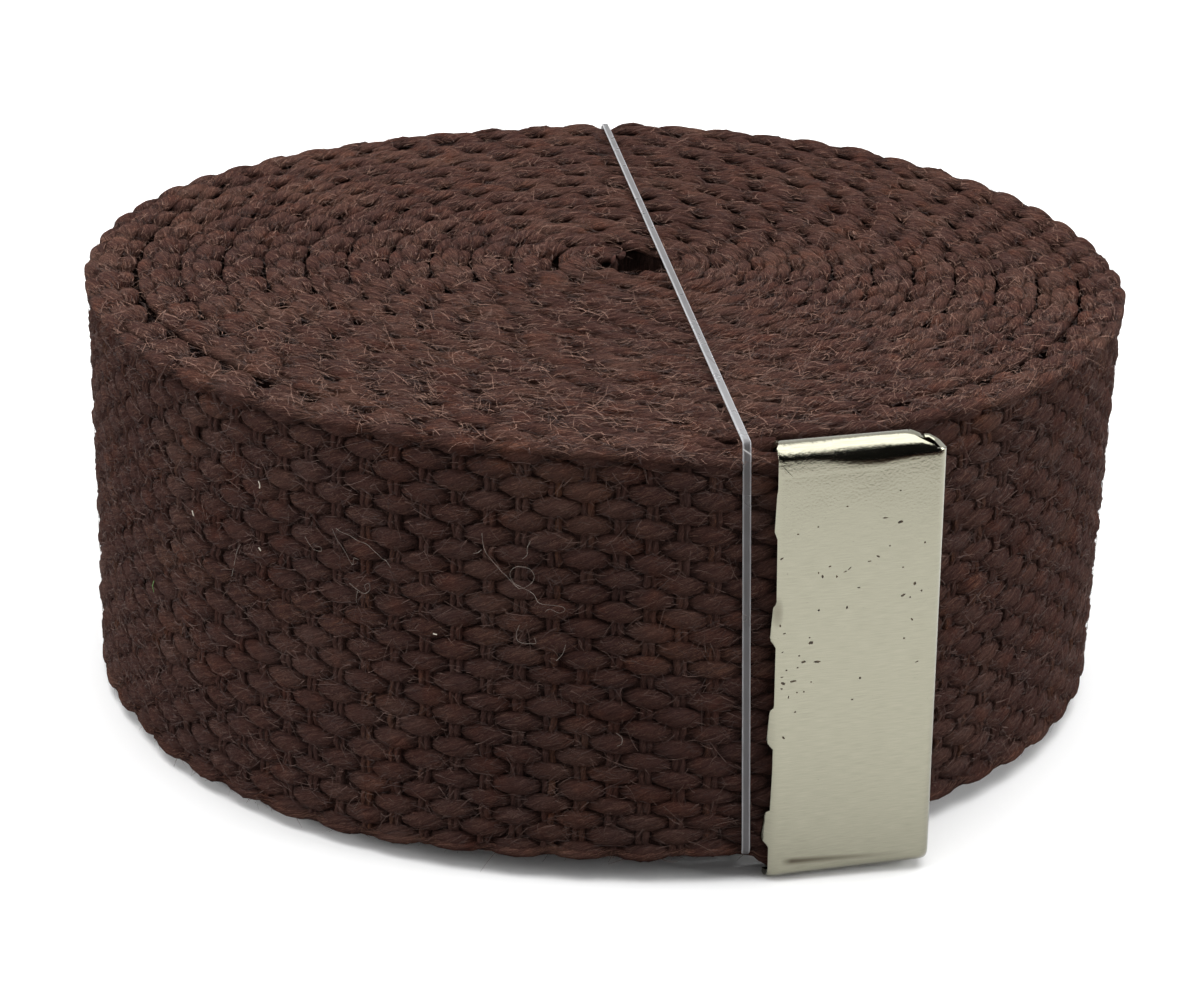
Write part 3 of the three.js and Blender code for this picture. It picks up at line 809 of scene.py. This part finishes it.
# %% Node group: marks on the plate
def marks_group():
    g, gin, gout = new_group("Plate marks", [("Plate", "Vector", (0, 0, 0))],
                             [("Pits", "Float"), ("Rub", "Float"), ("Smudge", "Float"), ("Dents", "Float")])
    plate = gin.outputs[0]
    parts = node(g, "ShaderNodeSeparateXYZ", [(plate, 0)])
    u, v = parts.outputs[0], parts.outputs[1]

    def patch(cu, cv, ru, rv):
        du = math_node(g, "DIVIDE", math_node(g, "SUBTRACT", u, cu), ru)
        dv = math_node(g, "DIVIDE", math_node(g, "SUBTRACT", v, cv), rv)
        far = math_node(g, "ADD", math_node(g, "MULTIPLY", du, du), math_node(g, "MULTIPLY", dv, dv))
        return mapped(g, far, 1.0, 0.0)

    speck = node(g, "ShaderNodeTexVoronoi", [(plate, "Vector")], values={"Scale": 2.1, "Randomness": 1.0})
    where = node(g, "ShaderNodeTexNoise", [(plate, "Vector")], values={"Scale": 0.9, "Detail": 2.0})
    reach = mapped(g, where.outputs[0], 0.5, 0.75, 0.0, 0.13)
    pits = mapped(g, math_node(g, "SUBTRACT", reach, speck.outputs["Distance"]), -0.02, 0.05)
    g.links.new(math_node(g, "MULTIPLY", pits, 0.45), gout.inputs["Pits"])

    hammer = node(g, "ShaderNodeTexNoise", [(plate, "Vector")],
                  values={"Scale": 3.2, "Detail": 4.0, "Roughness": 0.7})
    bend = math_node(g, "MULTIPLY", mapped(g, v, 31.0, 31.9), mapped(g, u, 9.0, 1.0, 0.25, 1.0))
    g.links.new(math_node(g, "MULTIPLY", hammer.outputs[0], bend), gout.inputs["Dents"])

    stretch = node(g, "ShaderNodeCombineXYZ", [(math_node(g, "MULTIPLY", u, 0.5), "X"),
                                               (math_node(g, "MULTIPLY", v, 9.0), "Y")])
    rub = node(g, "ShaderNodeTexNoise", [(stretch.outputs[0], "Vector")],
               values={"Scale": 1.5, "Detail": 4.0})
    g.links.new(rub.outputs[0], gout.inputs["Rub"])

    line = math_node(g, "ADD", math_node(g, "MULTIPLY", u, -0.045), 1.70)
    across = math_node(g, "ABSOLUTE", math_node(g, "SUBTRACT", v, line))
    width = mapped(g, u, 0.8, 9.0, 0.30, 0.18)
    smudge = mapped(g, math_node(g, "DIVIDE", across, width), 1.2, 0.2)
    smudge = math_node(g, "MULTIPLY", smudge, mapped(g, u, 0.5, 1.3))
    smudge = math_node(g, "MULTIPLY", smudge, mapped(g, u, 10.2, 1.5))
    stain = math_node(g, "MULTIPLY", patch(-0.1, 21.2, 0.45, 1.3), 0.5)
    g.links.new(math_node(g, "MAXIMUM", smudge, stain), gout.inputs["Smudge"])
    return g


def nickel_material():
    material, tree, shader = principled("Nickel plate", Metallic=1.0, Roughness=0.2)
    plate = node(tree, "ShaderNodeUVMap", uv_map="plate").outputs[0]
    marks = group_node(tree, marks_group(), [(plate, "Plate")])
    rub = marks.outputs["Rub"]
    clean = mix_colour(tree, mapped(tree, rub, 0.3, 0.8), (0.232, 0.224, 0.172, 1), (0.294, 0.284, 0.221, 1))
    dulled = math_node(tree, "MULTIPLY", marks.outputs["Smudge"], 0.95)
    dull = mix_colour(tree, dulled, clean, (0.075, 0.062, 0.045, 1))
    colour = mix_colour(tree, marks.outputs["Pits"], dull, (0.03, 0.022, 0.016, 1))
    tree.links.new(colour, shader.inputs["Base Color"])
    tree.links.new(mapped(tree, rub, 0.3, 0.8, 0.11, 0.2), shader.inputs["Roughness"])
    soft = node(tree, "ShaderNodeTexNoise", [(plate, "Vector")], values={"Scale": 0.3, "Detail": 1.0})
    grain = node(tree, "ShaderNodeTexNoise", [(plate, "Vector")], values={"Scale": 5.0, "Detail": 3.0})
    height = weighted(tree, (soft.outputs[0], 0.3), (grain.outputs[0], 0.09), (rub, -0.006),
                      (marks.outputs["Dents"], 0.55))
    bumped = node(tree, "ShaderNodeBump", [(height, "Height")], values={"Strength": 0.5, "Distance": 0.0002})
    tree.links.new(bumped.outputs[0], shader.inputs["Normal"])
    return material


# %% Build the tip
tip = add_piece("belt_tip_sheet", tip_mesh("belt_tip_sheet"), nickel_material())
weld = tip.modifiers.new("join grids", "WELD")
weld.merge_threshold = 0.01 * MM
sheet = tip.modifiers.new("sheet", "SOLIDIFY")
sheet.thickness, sheet.offset, sheet.use_even_offset = TIP_SHEET * MM, -1, False
rim = tip.modifiers.new("rim", "BEVEL")
rim.width, rim.segments, rim.limit_method, rim.angle_limit = 0.07 * MM, 2, "ANGLE", math.radians(50)
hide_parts("belt_tip")

# %% [markdown]
# ## Pits and a scratch
# Where the plating failed the steel has corroded to small black pits. They gather left of the
# middle and run in a loose line up to the right, and one long thin scratch crosses the upper bend.
# Bump would leave them grey, so each is a flat flake with a ragged outline. A flake is placed by
# its u along the tip and v up the plate, and has a length, a width and an angle.

# %% Flakes on the plate
PITS = [
    (8.3, 29.4, 0.16, 0.10, 0), (4.6, 28.6, 0.14, 0.11, 0), (7.3, 27.5, 0.35, 0.11, 0),
    (8.4, 27.1, 0.37, 0.22, 21), (2.6, 27.3, 0.14, 0.11, 0), (1.2, 26.9, 0.18, 0.11, 0),
    (10.2, 25.4, 0.11, 0.18, 0), (0.1, 25.2, 0.25, 0.10, 33), (7.7, 25.4, 0.14, 0.11, 0),
    (6.9, 24.7, 0.30, 0.12, -26), (6.3, 24.4, 0.27, 0.08, 0), (3.5, 24.3, 0.19, 0.11, 16),
    (2.7, 23.9, 0.09, 0.18, 0), (3.0, 23.6, 0.17, 0.24, 10), (4.0, 23.5, 0.14, 0.18, 16),
    (4.6, 23.8, 0.29, 0.08, 21), (4.9, 24.0, 0.31, 0.08, 44), (8.7, 23.7, 0.13, 0.11, 0),
    (5.6, 22.5, 0.22, 0.09, 0), (9.6, 22.4, 0.25, 0.25, 0), (10.1, 21.8, 0.15, 0.17, 0),
    (8.8, 21.6, 0.36, 0.17, 27), (9.3, 21.4, 0.15, 0.13, 0), (4.8, 21.1, 0.17, 0.22, 0),
    (2.8, 21.1, 0.19, 0.15, 10), (9.5, 19.7, 0.12, 0.22, 27), (0.1, 20.2, 0.13, 0.20, 0),
    (0.4, 19.6, 0.26, 0.08, 16), (2.3, 18.7, 0.38, 0.22, 10), (2.2, 19.1, 0.14, 0.11, 0),
    (9.0, 18.3, 0.15, 0.13, 0), (0.3, 18.2, 0.16, 0.08, 27), (1.5, 17.8, 0.16, 0.11, 0),
    (1.8, 17.3, 0.38, 0.18, 4), (2.8, 17.2, 0.53, 0.17, 0), (0.6, 16.8, 0.16, 0.14, 0),
    (1.4, 16.9, 0.15, 0.10, 39), (0.3, 16.3, 0.22, 0.10, 0), (0.4, 15.8, 0.33, 0.22, -27),
    (1.1, 15.9, 0.49, 0.15, 4), (0.3, 15.4, 0.20, 0.11, 0), (2.4, 15.7, 0.13, 0.10, 0),
    (1.4, 15.0, 0.14, 0.11, 0), (1.9, 15.0, 0.14, 0.11, 0), (0.8, 14.7, 0.10, 0.21, 0),
    (1.3, 13.5, 0.17, 0.13, 0), (0.5, 11.6, 0.17, 0.28, 33), (5.9, 15.6, 0.16, 0.18, 0),
    (5.4, 14.0, 0.16, 0.13, 0), (10.0, 16.4, 0.26, 0.08, 21), (0.4, 31.5, 1.05, 0.04, -49)]
FLAKE_CORNERS = 14
FLAKE_STANDOFF = 0.006                          # clear of the plate, so that no flake flickers


def flakes(name, material):
    verts, faces = [], []
    a = np.arange(FLAKE_CORNERS) * (2 * math.pi / FLAKE_CORNERS)
    for u, v, length, width, angle in PITS:
        ragged = 0.5 * rng.uniform(0.75, 1.2, len(a))
        x, y = length * ragged * np.cos(a), width * ragged * np.sin(a)
        c, d = math.cos(math.radians(angle)), math.sin(math.radians(angle))
        edge = tip_point(u + x * c - y * d, v + x * d + y * c, np.full(len(a), -FLAKE_STANDOFF))
        faces.append(tuple(range(len(verts), len(verts) + len(a))))
        verts.extend(edge * MM)
    mesh = bpy.data.meshes.new(name)
    mesh.from_pydata(verts, [], faces)
    return add_piece(name, mesh, material)


def speckled(name, dark, light, scale, roughness):
    """Plain matt material whose colour wanders between two shades."""
    material, tree, shader = principled(name, Roughness=roughness)
    spot = node(tree, "ShaderNodeTexCoord").outputs["Object"]
    noise = node(tree, "ShaderNodeTexNoise", [(spot, "Vector")], values={"Scale": scale, "Detail": 1.0})
    shade = mapped(tree, noise.outputs[0], 0.35, 0.65)
    tree.links.new(mix_colour(tree, shade, (*dark, 1), (*light, 1)), shader.inputs["Base Color"])
    return material


flakes("corroded_pits", speckled("Corroded pit", (0.012, 0.009, 0.007), (0.10, 0.07, 0.04), 9000.0, 0.8))

# %% [markdown]
# ## The clear band
# A thin band of clear elastic plastic runs over the roll, down the front, under it and up the
# back. Its cut edges catch the light, which is painted on as pale rims, and its flat middle stays
# grey and see-through. It could be a curve with a bevel, but a swept strip of our own keeps its
# flat side on the cloth round every corner. The material goes by place: the top run is painted
# lighter than the front run, with a painted highlight strongest near the front corner of the top,
# and a painted white glint lies along a crease just below that corner.

# %% Middle line of the band
BAND = {"width": 0.56, "thick": 0.22, "front": -41.12, "back": 41.88}
BAND_BENDS = (0.3, 0.9, 0.9, 0.9, 1.3)          # radius at each corner, from the front's upper one on
# Place of the painted white glint along the crease
CREASE_GLINT = {"slope": 0.7, "height": 0.03973}      # on the front run, in metres: z = height - slope * x


def band_loop():
    """Middle line of the band, its side direction and its outward direction."""
    top = STRAP_LIFT + WEB_WIDTH + BAND["thick"]
    front, back = BAND["front"], BAND["back"]
    front_x, back_x = (BAND_TOP["x"] + BAND_TOP["slope"] * y for y in (front, back))
    corners = np.array([(front_x, front, top + 0.12), (BAND_FOOT_X, front, 2.4),
                        (BAND_FOOT_X - 0.3, front + 2.6, 1.1),
                        (back_x, back, 1.0), (back_x, back, top + 0.22)])
    places = []
    for i, bend in enumerate(BAND_BENDS):
        corner, before, after = corners[i], corners[i - 1], corners[(i + 1) % len(corners)]
        came, goes = unit(corner - before), unit(after - corner)
        turned = math.acos(float(np.clip(came @ goes, -1, 1)))
        reach = bend * math.tan(turned / 2)
        for t in np.linspace(0, 1, 9):
            places.append(corner - came * reach * (1 - t) ** 2 + goes * reach * t ** 2)
    walk = []
    for a, b in zip(places, places[1:] + places[:1]):
        count = max(1, int(np.linalg.norm(b - a) / 1.2))
        walk += [a + (b - a) * i / count for i in range(count)]
    at = np.array(walk)
    along = unit(np.roll(at, -1, 0) - np.roll(at, 1, 0))
    sideways = np.array([1.0, -BAND_TOP["slope"], 0])
    side = unit(sideways - along * (along @ sideways)[:, None])
    return at, side, np.cross(along, side)


# %% Material of the band
def clear_plastic():
    """Grey see-through middle with painted highlights: pale rims by the rim value of each point, a lighter
    top run and a crease glint by place.
    """
    material, tree, shader = principled("Clear plastic", Roughness=0.3, IOR=1.25, Transmission_Weight=0.5)
    rim = node(tree, "ShaderNodeAttribute", attribute_name="rim").outputs["Fac"]
    position = node(tree, "ShaderNodeTexCoord").outputs["Object"]
    haze = node(tree, "ShaderNodeTexNoise", [(position, "Vector")], values={"Scale": 700.0, "Detail": 2.0})
    x, y, z = node(tree, "ShaderNodeSeparateXYZ", [(position, 0)]).outputs[:3]
    # Painted light: the top run is lighter than the front run, brightest near the front corner
    on_top = mapped(tree, y, -0.0410, -0.0407)
    top_highlight_fade = mapped(tree, y, -0.040, -0.012)
    top = mix_colour(tree, top_highlight_fade, (0.36, 0.36, 0.37, 1), (0.17, 0.165, 0.17, 1))
    middle = mix_colour(tree, on_top, (0.19, 0.185, 0.19, 1), top)
    # Painted highlight on the rims
    band_colour_with_highlights = mix_colour(tree, rim, middle, (0.70, 0.70, 0.72, 1))
    # Painted white glint along the crease on the front run
    sloping = math_node(tree, "MULTIPLY_ADD", x, CREASE_GLINT["slope"], -CREASE_GLINT["height"])
    crease_glint = math_node(tree, "ABSOLUTE", math_node(tree, "ADD", z, sloping))
    on_front = mapped(tree, on_top, 1.0, 0.0)
    crease_glint = math_node(tree, "MULTIPLY", mapped(tree, crease_glint, 0.00009, 0.00003), on_front)
    band_colour_with_highlights = mix_colour(tree, crease_glint, band_colour_with_highlights, (0.95, 0.95, 0.95, 1))
    tree.links.new(band_colour_with_highlights, shader.inputs["Base Color"])
    tree.links.new(mapped(tree, haze.outputs[0], 0.3, 0.7, 0.25, 0.4), shader.inputs["Roughness"])
    return material


# %% Sweep the band
def clear_band(name):
    at, side, out = band_loop()
    half_w, half_t = BAND["width"] / 2, BAND["thick"] / 2
    across = half_w * np.array([-1, -0.85, -0.6, 0.6, 0.85, 1, 1, 0.85, -0.85, -1])
    depth = half_t * np.array([0.5, 0.9, 1, 1, 0.9, 0.5, -0.5, -1, -1, -0.5])
    rings = at[:, None] + side[:, None] * across[:, None] + out[:, None] * depth[:, None]
    m, k = rings.shape[:2]
    index = np.arange(m * k).reshape(m, k)
    nxt = np.roll(index, -1, 0)
    quads = np.stack([index, nxt, np.roll(nxt, -1, 1), np.roll(index, -1, 1)], -1).reshape(-1, 4)
    mesh = bpy.data.meshes.new(name)
    mesh.from_pydata(rings.reshape(-1, 3) * MM, [], quads.tolist())
    rim = mesh.attributes.new("rim", "FLOAT", "POINT")
    to_rim = np.clip(np.abs(across) / half_w, 0.6, 1) * 2.5 - 1.5
    rim.data.foreach_set("value", np.tile(to_rim, m).astype(np.float32))
    piece = add_piece(name, mesh, clear_plastic())
    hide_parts("retaining_band")


clear_band("clear_band_loop")

# %% [markdown]
# ## Fuzz and lint
# Cotton that was handled is hairy. Thousands of short fibres lie over the floats or stand off the
# ridges and blur every outline. Blender's own hair would do for a picture, but it is no mesh, and
# this part is kept as meshes. So each fibre is a curved ribbon a thirtieth of a millimetre wide,
# about twice a real fibre's width so that it still shows, and all are made at once from arrays.

# %% Hairs
FACE_HAIRS, EDGE_HAIRS = 22000, 26500
HAIR_WIDTH = {"face": 0.033, "edge": 0.032}
FLOOR_CLEARANCE = 0.08                          # no hair reaches into the floor


def outward(s):
    a = np.interp(s, ARC, HEADING)
    return np.stack([-np.sin(a), np.cos(a), 0 * a], -1)


def forward(s):
    a = np.interp(s, ARC, HEADING)
    return np.stack([np.cos(a), np.sin(a), 0 * a], -1)


def hairs(name, base, out, along, length, rise, slant, width, material, bends=4):
    """Ribbons from base: out is the surface's normal, along the yarn's run, all (count, 3)."""
    count = len(base)
    t = np.linspace(0, 1, bends)[None, :, None]
    across = np.cross(out, along)
    angle = rng.normal(0, slant, (count, 1)) + math.pi * rng.integers(0, 2, (count, 1))
    lead = along * np.cos(angle) + across * np.sin(angle)
    curl = rng.normal(0, 0.35, (count, 1)) * across + rng.normal(0, 0.2, (count, 1)) * along
    size, up = length[:, None, None], (rise * rng.uniform(0.2, 1, count))[:, None, None]
    walk = (base[:, None] + lead[:, None] * size * t + curl[:, None] * size * t ** 2
            + out[:, None] * up * (2.2 * t - 1.5 * t ** 2))
    walk[..., 2] = np.maximum(walk[..., 2], FLOOR_CLEARANCE)
    side = unit(np.cross(lead, out) + 0.5 * rng.normal(0, 1, (count, 3)))[:, None]
    half = width / 2 * (1 - 0.6 * t)
    rings = np.stack([walk - side * half, walk + side * half], 2)
    bundle = Bundle()
    bundle.add(rings, np.broadcast_to(t[..., 0], (count, bends)), np.ones((count, bends)),
               rng.uniform(0, 1, count), (0, 0.1))
    return bundle.build(name, material)


def fibre_material(name, dark, light):
    material, tree, shader = principled(name, Roughness=0.8)
    shade = node(tree, "ShaderNodeAttribute", attribute_name="tone")
    mixed = mix_colour(tree, mapped(tree, shade.outputs["Fac"], 0.3, 1.0), (*dark, 1), (*light, 1))
    tree.links.new(mixed, shader.inputs["Base Color"])
    return material


face_fibre = fibre_material("Loose face fibre", (0.035, 0.017, 0.014), (0.15, 0.088, 0.07))
edge_fibre = fibre_material("Loose edge fibre", (0.035, 0.016, 0.013), (0.36, 0.20, 0.145))

# %% Fuzz on the outer face, thinner towards the back
s = rng.uniform(AT_MOUTH + 1, FACE_END - 22, 4 * FACE_HAIRS)
in_front = np.interp(s, ARC, LINE[:, 1]) < 8
s = s[in_front | (rng.uniform(0, 1, len(s)) < 0.25)][:FACE_HAIRS]
h = rng.uniform(-WEB_WIDTH / 2 + 0.3, WEB_WIDTH / 2 - 0.1, FACE_HAIRS)
hairs("face_fuzz", place(s, 1.26, h), outward(s), forward(s), 0.3 + rng.gamma(2.0, 0.24, FACE_HAIRS),
      0.14, 0.6, HAIR_WIDTH["face"], face_fibre)

# %% Fuzz on the upper edges, denser towards the front, where the hand took the roll
s = rng.uniform(AT_MOUTH + 1, CUT_END, 200000)
wanted = 0.3 + 0.7 * smooth(-np.interp(s, ARC, LINE[:, 1]), -10, 38)
s = s[rng.uniform(0, 1, len(s)) < wanted][:EDGE_HAIRS]
n = rng.uniform(-1.5, 1.5, len(s))
up = unit(np.array([0, 0, 1.0]) + outward(s) * (n * 0.45)[:, None])
hairs("edge_fuzz", place(s, n, WEB_WIDTH / 2 - 0.12 - 0.12 * n ** 2), up, forward(s),
      0.3 + rng.gamma(2.0, 0.26, len(s)), 0.24, 0.7, HAIR_WIDTH["edge"], edge_fibre)

# %% [markdown]
# ## Lint
# A few pale hairs from elsewhere cling to the face: a long one that makes a loop, a forked one, two
# wide arcs and some short hooks. Each follows a few points in the strap's own coordinates, along
# and up. Four pale specks and one green fleck of plant are made the same way, shorter and thicker.

# %% Lint on the face
LINT = [
    [(30.6, 9.1), (30.4, 7.9), (29.8, 7.0), (29.0, 6.2), (28.6, 5.7), (28.0, 5.3), (27.3, 5.7), (27.1, 6.3),
     (27.5, 6.8), (28.2, 6.9), (28.7, 6.4), (28.5, 5.7), (27.9, 5.4), (27.1, 4.9), (26.8, 4.4), (26.2, 4.2),
     (25.3, 4.2), (25.0, 3.9), (25.4, 3.7), (26.0, 3.9), (26.3, 3.7)],
    [(31.2, 7.5), (30.9, 7.6), (30.6, 7.9)],
    [(27.4, 8.8), (27.6, 8.3), (27.6, 7.8), (27.9, 7.5)],
    [(40.0, 3.7), (39.6, 3.5), (39.3, 3.4), (38.8, 3.2), (38.4, 3.6), (38.5, 4.0), (38.8, 3.8), (38.7, 3.4)],
    [(39.4, 2.4), (39.4, 2.8), (39.3, 3.3)],
    [(41.3, 7.5), (41.0, 6.9), (40.5, 6.4), (40.2, 5.9), (39.9, 5.3), (39.7, 5.2), (39.6, 5.7), (39.2, 5.7)],
    [(41.0, 7.6), (40.3, 7.4), (39.3, 7.1), (38.6, 6.9), (37.9, 6.5), (37.5, 6.1), (37.2, 6.0), (36.8, 5.6)],
    [(43.5, 6.4), (43.0, 5.9), (42.7, 5.6), (42.2, 5.6), (42.2, 5.9), (42.7, 5.9)],
    [(28.0, 2.6), (28.2, 1.9), (28.1, 1.4), (27.5, 1.2), (26.9, 1.3), (27.0, 1.7)],
    [(24.9, 1.3), (25.1, 0.6), (25.5, 0.1)], [(50.1, 1.5), (49.9, 2.3), (49.5, 3.5), (49.1, 4.3)],
    [(21.3, -5.2), (20.9, -5.5), (20.9, -6.0), (21.2, -6.2)]]
SPECKS = [[(47.4, 9.55), (47.25, 9.3), (47.3, 9.05)], [(47.5, 4.5), (47.3, 4.3)],
          [(33.85, 1.15), (33.6, 1.1)], [(54.1, 5.3), (54.0, 4.9)]]
GREEN_FLECK = [[(60.1, -2.9), (59.95, -2.6), (59.7, -2.3)], [(60.1, -2.8), (59.9, -3.3)]]
LINT_STANDOFF = 1.48                            # it lies on the crowns of the floats


def through(points, per_span=6):
    """Smooth curve through points, Catmull-Rom."""
    p = np.array([points[0], *points, points[-1]], float)
    t = np.linspace(0, 1, per_span, endpoint=False)[:, None]
    spans = [0.5 * (2 * b + (c - a) * t + (2 * a - 5 * b + 4 * c - d) * t ** 2
                    + (3 * b - a - 3 * c + d) * t ** 3)
             for a, b, c, d in zip(p[:-3], p[1:-2], p[2:-1], p[3:])]
    return np.concatenate([*spans, p[-1:]])


def lint(name, curves, radius, material):
    bundle = Bundle()
    c, d = circle(5)
    for points in curves:
        s, h = through(points).T
        at = place(s, LINT_STANDOFF + 0.06 * np.sin(s * 5), h)
        along = unit(np.gradient(at, axis=0))
        out = outward(s)
        side = np.cross(along, out)
        rings = at[:, None] + radius * (out[:, None] * c[:, None] + side[:, None] * d[:, None])
        bundle.add(rings[None], s[None], np.ones((1, len(s))))
    return bundle.build(name, material)


# Name, curves, radius and the two shades of each kind
for name, curves, radius, dark, light in (
        ("pale_lint", LINT, 0.011, (0.20, 0.16, 0.135), (0.36, 0.31, 0.27)),
        ("pale_specks", SPECKS, 0.045, (0.40, 0.34, 0.27), (0.75, 0.68, 0.58)),
        ("green_fleck", GREEN_FLECK, 0.03, (0.05, 0.10, 0.02), (0.15, 0.28, 0.07))):
    finish = speckled(name.replace("_", " ").capitalize(), dark, light, 1500.0, 0.6)
    lint(name, curves, radius, finish)

# %% [markdown]
# ## Setting
# The belt lies on a wide pale floor, under one broad soft light overhead and a weak one at each
# side that keeps the roll's flanks from going black. The polished tip mirrors what stands in front
# of it: pale floor close by, then the dark of the room, then the light overhead. So mirror rays see
# the floor dark from a hand's breadth away on the tip's side, and the room dark up to the light but
# bright behind the roll. Light scattered by the floor is kept low, so the sides stay deep.

# %% Floor
FLOOR_HALF = 3.0                                # metres, as all places in this cell


def pale_floor():
    f = FLOOR_HALF
    mesh = bpy.data.meshes.new("floor")
    mesh.from_pydata([(-f, -f, 0), (f, -f, 0), (f, f, 0), (-f, f, 0)], [], [(0, 1, 2, 3)])
    plane = bpy.data.objects.new("floor", mesh)
    bpy.context.collection.objects.link(plane)
    material, tree, shader = principled("Pale floor", Roughness=0.9, Specular_IOR_Level=0.0)
    ray = node(tree, "ShaderNodeLightPath")
    position = node(tree, "ShaderNodeNewGeometry").outputs["Position"]
    away = node(tree, "ShaderNodeVectorMath", [(position, 0)], operation="LENGTH").outputs["Value"]
    y = node(tree, "ShaderNodeSeparateXYZ", [(position, 0)]).outputs[1]
    far = math_node(tree, "MULTIPLY", mapped(tree, away, 0.125, 0.15), mapped(tree, y, 0.05, -0.02))
    mirrored = math_node(tree, "MULTIPLY", ray.outputs["Is Glossy Ray"], far)
    near = mix_colour(tree, ray.outputs["Is Diffuse Ray"], (0.95, 0.95, 0.95, 1), (0.38, 0.37, 0.36, 1))
    dark = mix_colour(tree, mapped(tree, away, 0.17, 0.24), (0.085, 0.04, 0.022, 1),
                      (0.004, 0.0045, 0.006, 1))
    tree.links.new(mix_colour(tree, mirrored, near, dark), shader.inputs["Base Color"])
    mesh.materials.append(material)


pale_floor()


# %% Lights
SIDE_LIGHT = {"away": 1.0, "forward": -0.1, "up": 0.3, "size": (0.5, 0.5), "power": 8.5}


def area_light(name, at, aim, size, power):
    data = bpy.data.lights.new(name, "AREA")
    data.shape, data.size, data.size_y, data.energy = "RECTANGLE", size[0], size[1], power
    light = bpy.data.objects.new(name, data)
    bpy.context.collection.objects.link(light)
    light.location = at
    light.rotation_euler = (Vector(aim) - Vector(at)).to_track_quat("-Z", "Y").to_euler()


area_light("overhead", (0.0, 0.15, 1.1), (0, 0, 0), (1.6, 1.4), 24)
for name, side in (("left", -1), ("right", 1)):
    at = (side * SIDE_LIGHT["away"], SIDE_LIGHT["forward"], SIDE_LIGHT["up"])
    area_light(name, at, (0, 0, 0.01), SIDE_LIGHT["size"], SIDE_LIGHT["power"])


# %% Room
def studio_world():
    world = bpy.data.worlds.new("studio")
    bpy.context.scene.world = world
    world.use_nodes = True
    sky = world.node_tree
    direction = node(sky, "ShaderNodeTexCoord").outputs["Generated"]
    _, y, z = node(sky, "ShaderNodeSeparateXYZ", [(direction, 0)]).outputs[:3]
    glossy = node(sky, "ShaderNodeLightPath").outputs["Is Glossy Ray"]
    mirrored = math_node(sky, "MAXIMUM", mapped(sky, z, 0.80, 0.9, 0.01, 1.0), mapped(sky, y, 0.0, 0.35))
    scattered = math_node(sky, "MULTIPLY", math_node(sky, "SUBTRACT", 1.0, glossy), 0.3)
    strength = math_node(sky, "ADD", math_node(sky, "MULTIPLY", glossy, mirrored), scattered)
    sky.links.new(strength, sky.nodes["Background"].inputs["Strength"])
    sky.nodes["Background"].inputs["Color"].default_value = (1, 1, 1, 1)


studio_world()

# %% [markdown]
# ## Camera
# The camera was solved from the outline of the roll: 80 mm on a full frame, about 0.23 m away and
# 21 degrees above the roll, with the horizon turned by almost two degrees. Its three directions
# are written as they were solved, since angles would have to be turned back into them.

# %% Camera and colour
CAMERA_AT = (0.002065, -0.204384, 0.096386)
CAMERA_RIGHT = (0.99928736, 0.02306552, 0.02987899)
CAMERA_UP = (-0.03642189, 0.38137712, 0.92370176)
CAMERA_FORWARD = (-0.0099105, 0.92413174, -0.38194542)

camera_data = bpy.data.cameras.new("camera")
camera = bpy.data.objects.new("camera", camera_data)
bpy.context.collection.objects.link(camera)
turn = Matrix((CAMERA_RIGHT, CAMERA_UP, tuple(-v for v in CAMERA_FORWARD))).transposed().to_4x4()
camera.matrix_world = Matrix.Translation(CAMERA_AT) @ turn
camera_data.lens, camera_data.sensor_width = 79.39, 36
camera_data.clip_start, camera_data.clip_end = 0.01, 20
scene = bpy.context.scene
scene.camera = camera
scene.view_settings.view_transform = "Standard"
scene.view_settings.look = "None"
print("camera lens:", camera_data.lens)

# %% [markdown]
# ## Finish
# The view layer is brought up to date.

# %% Finish
bpy.context.view_layer.update()
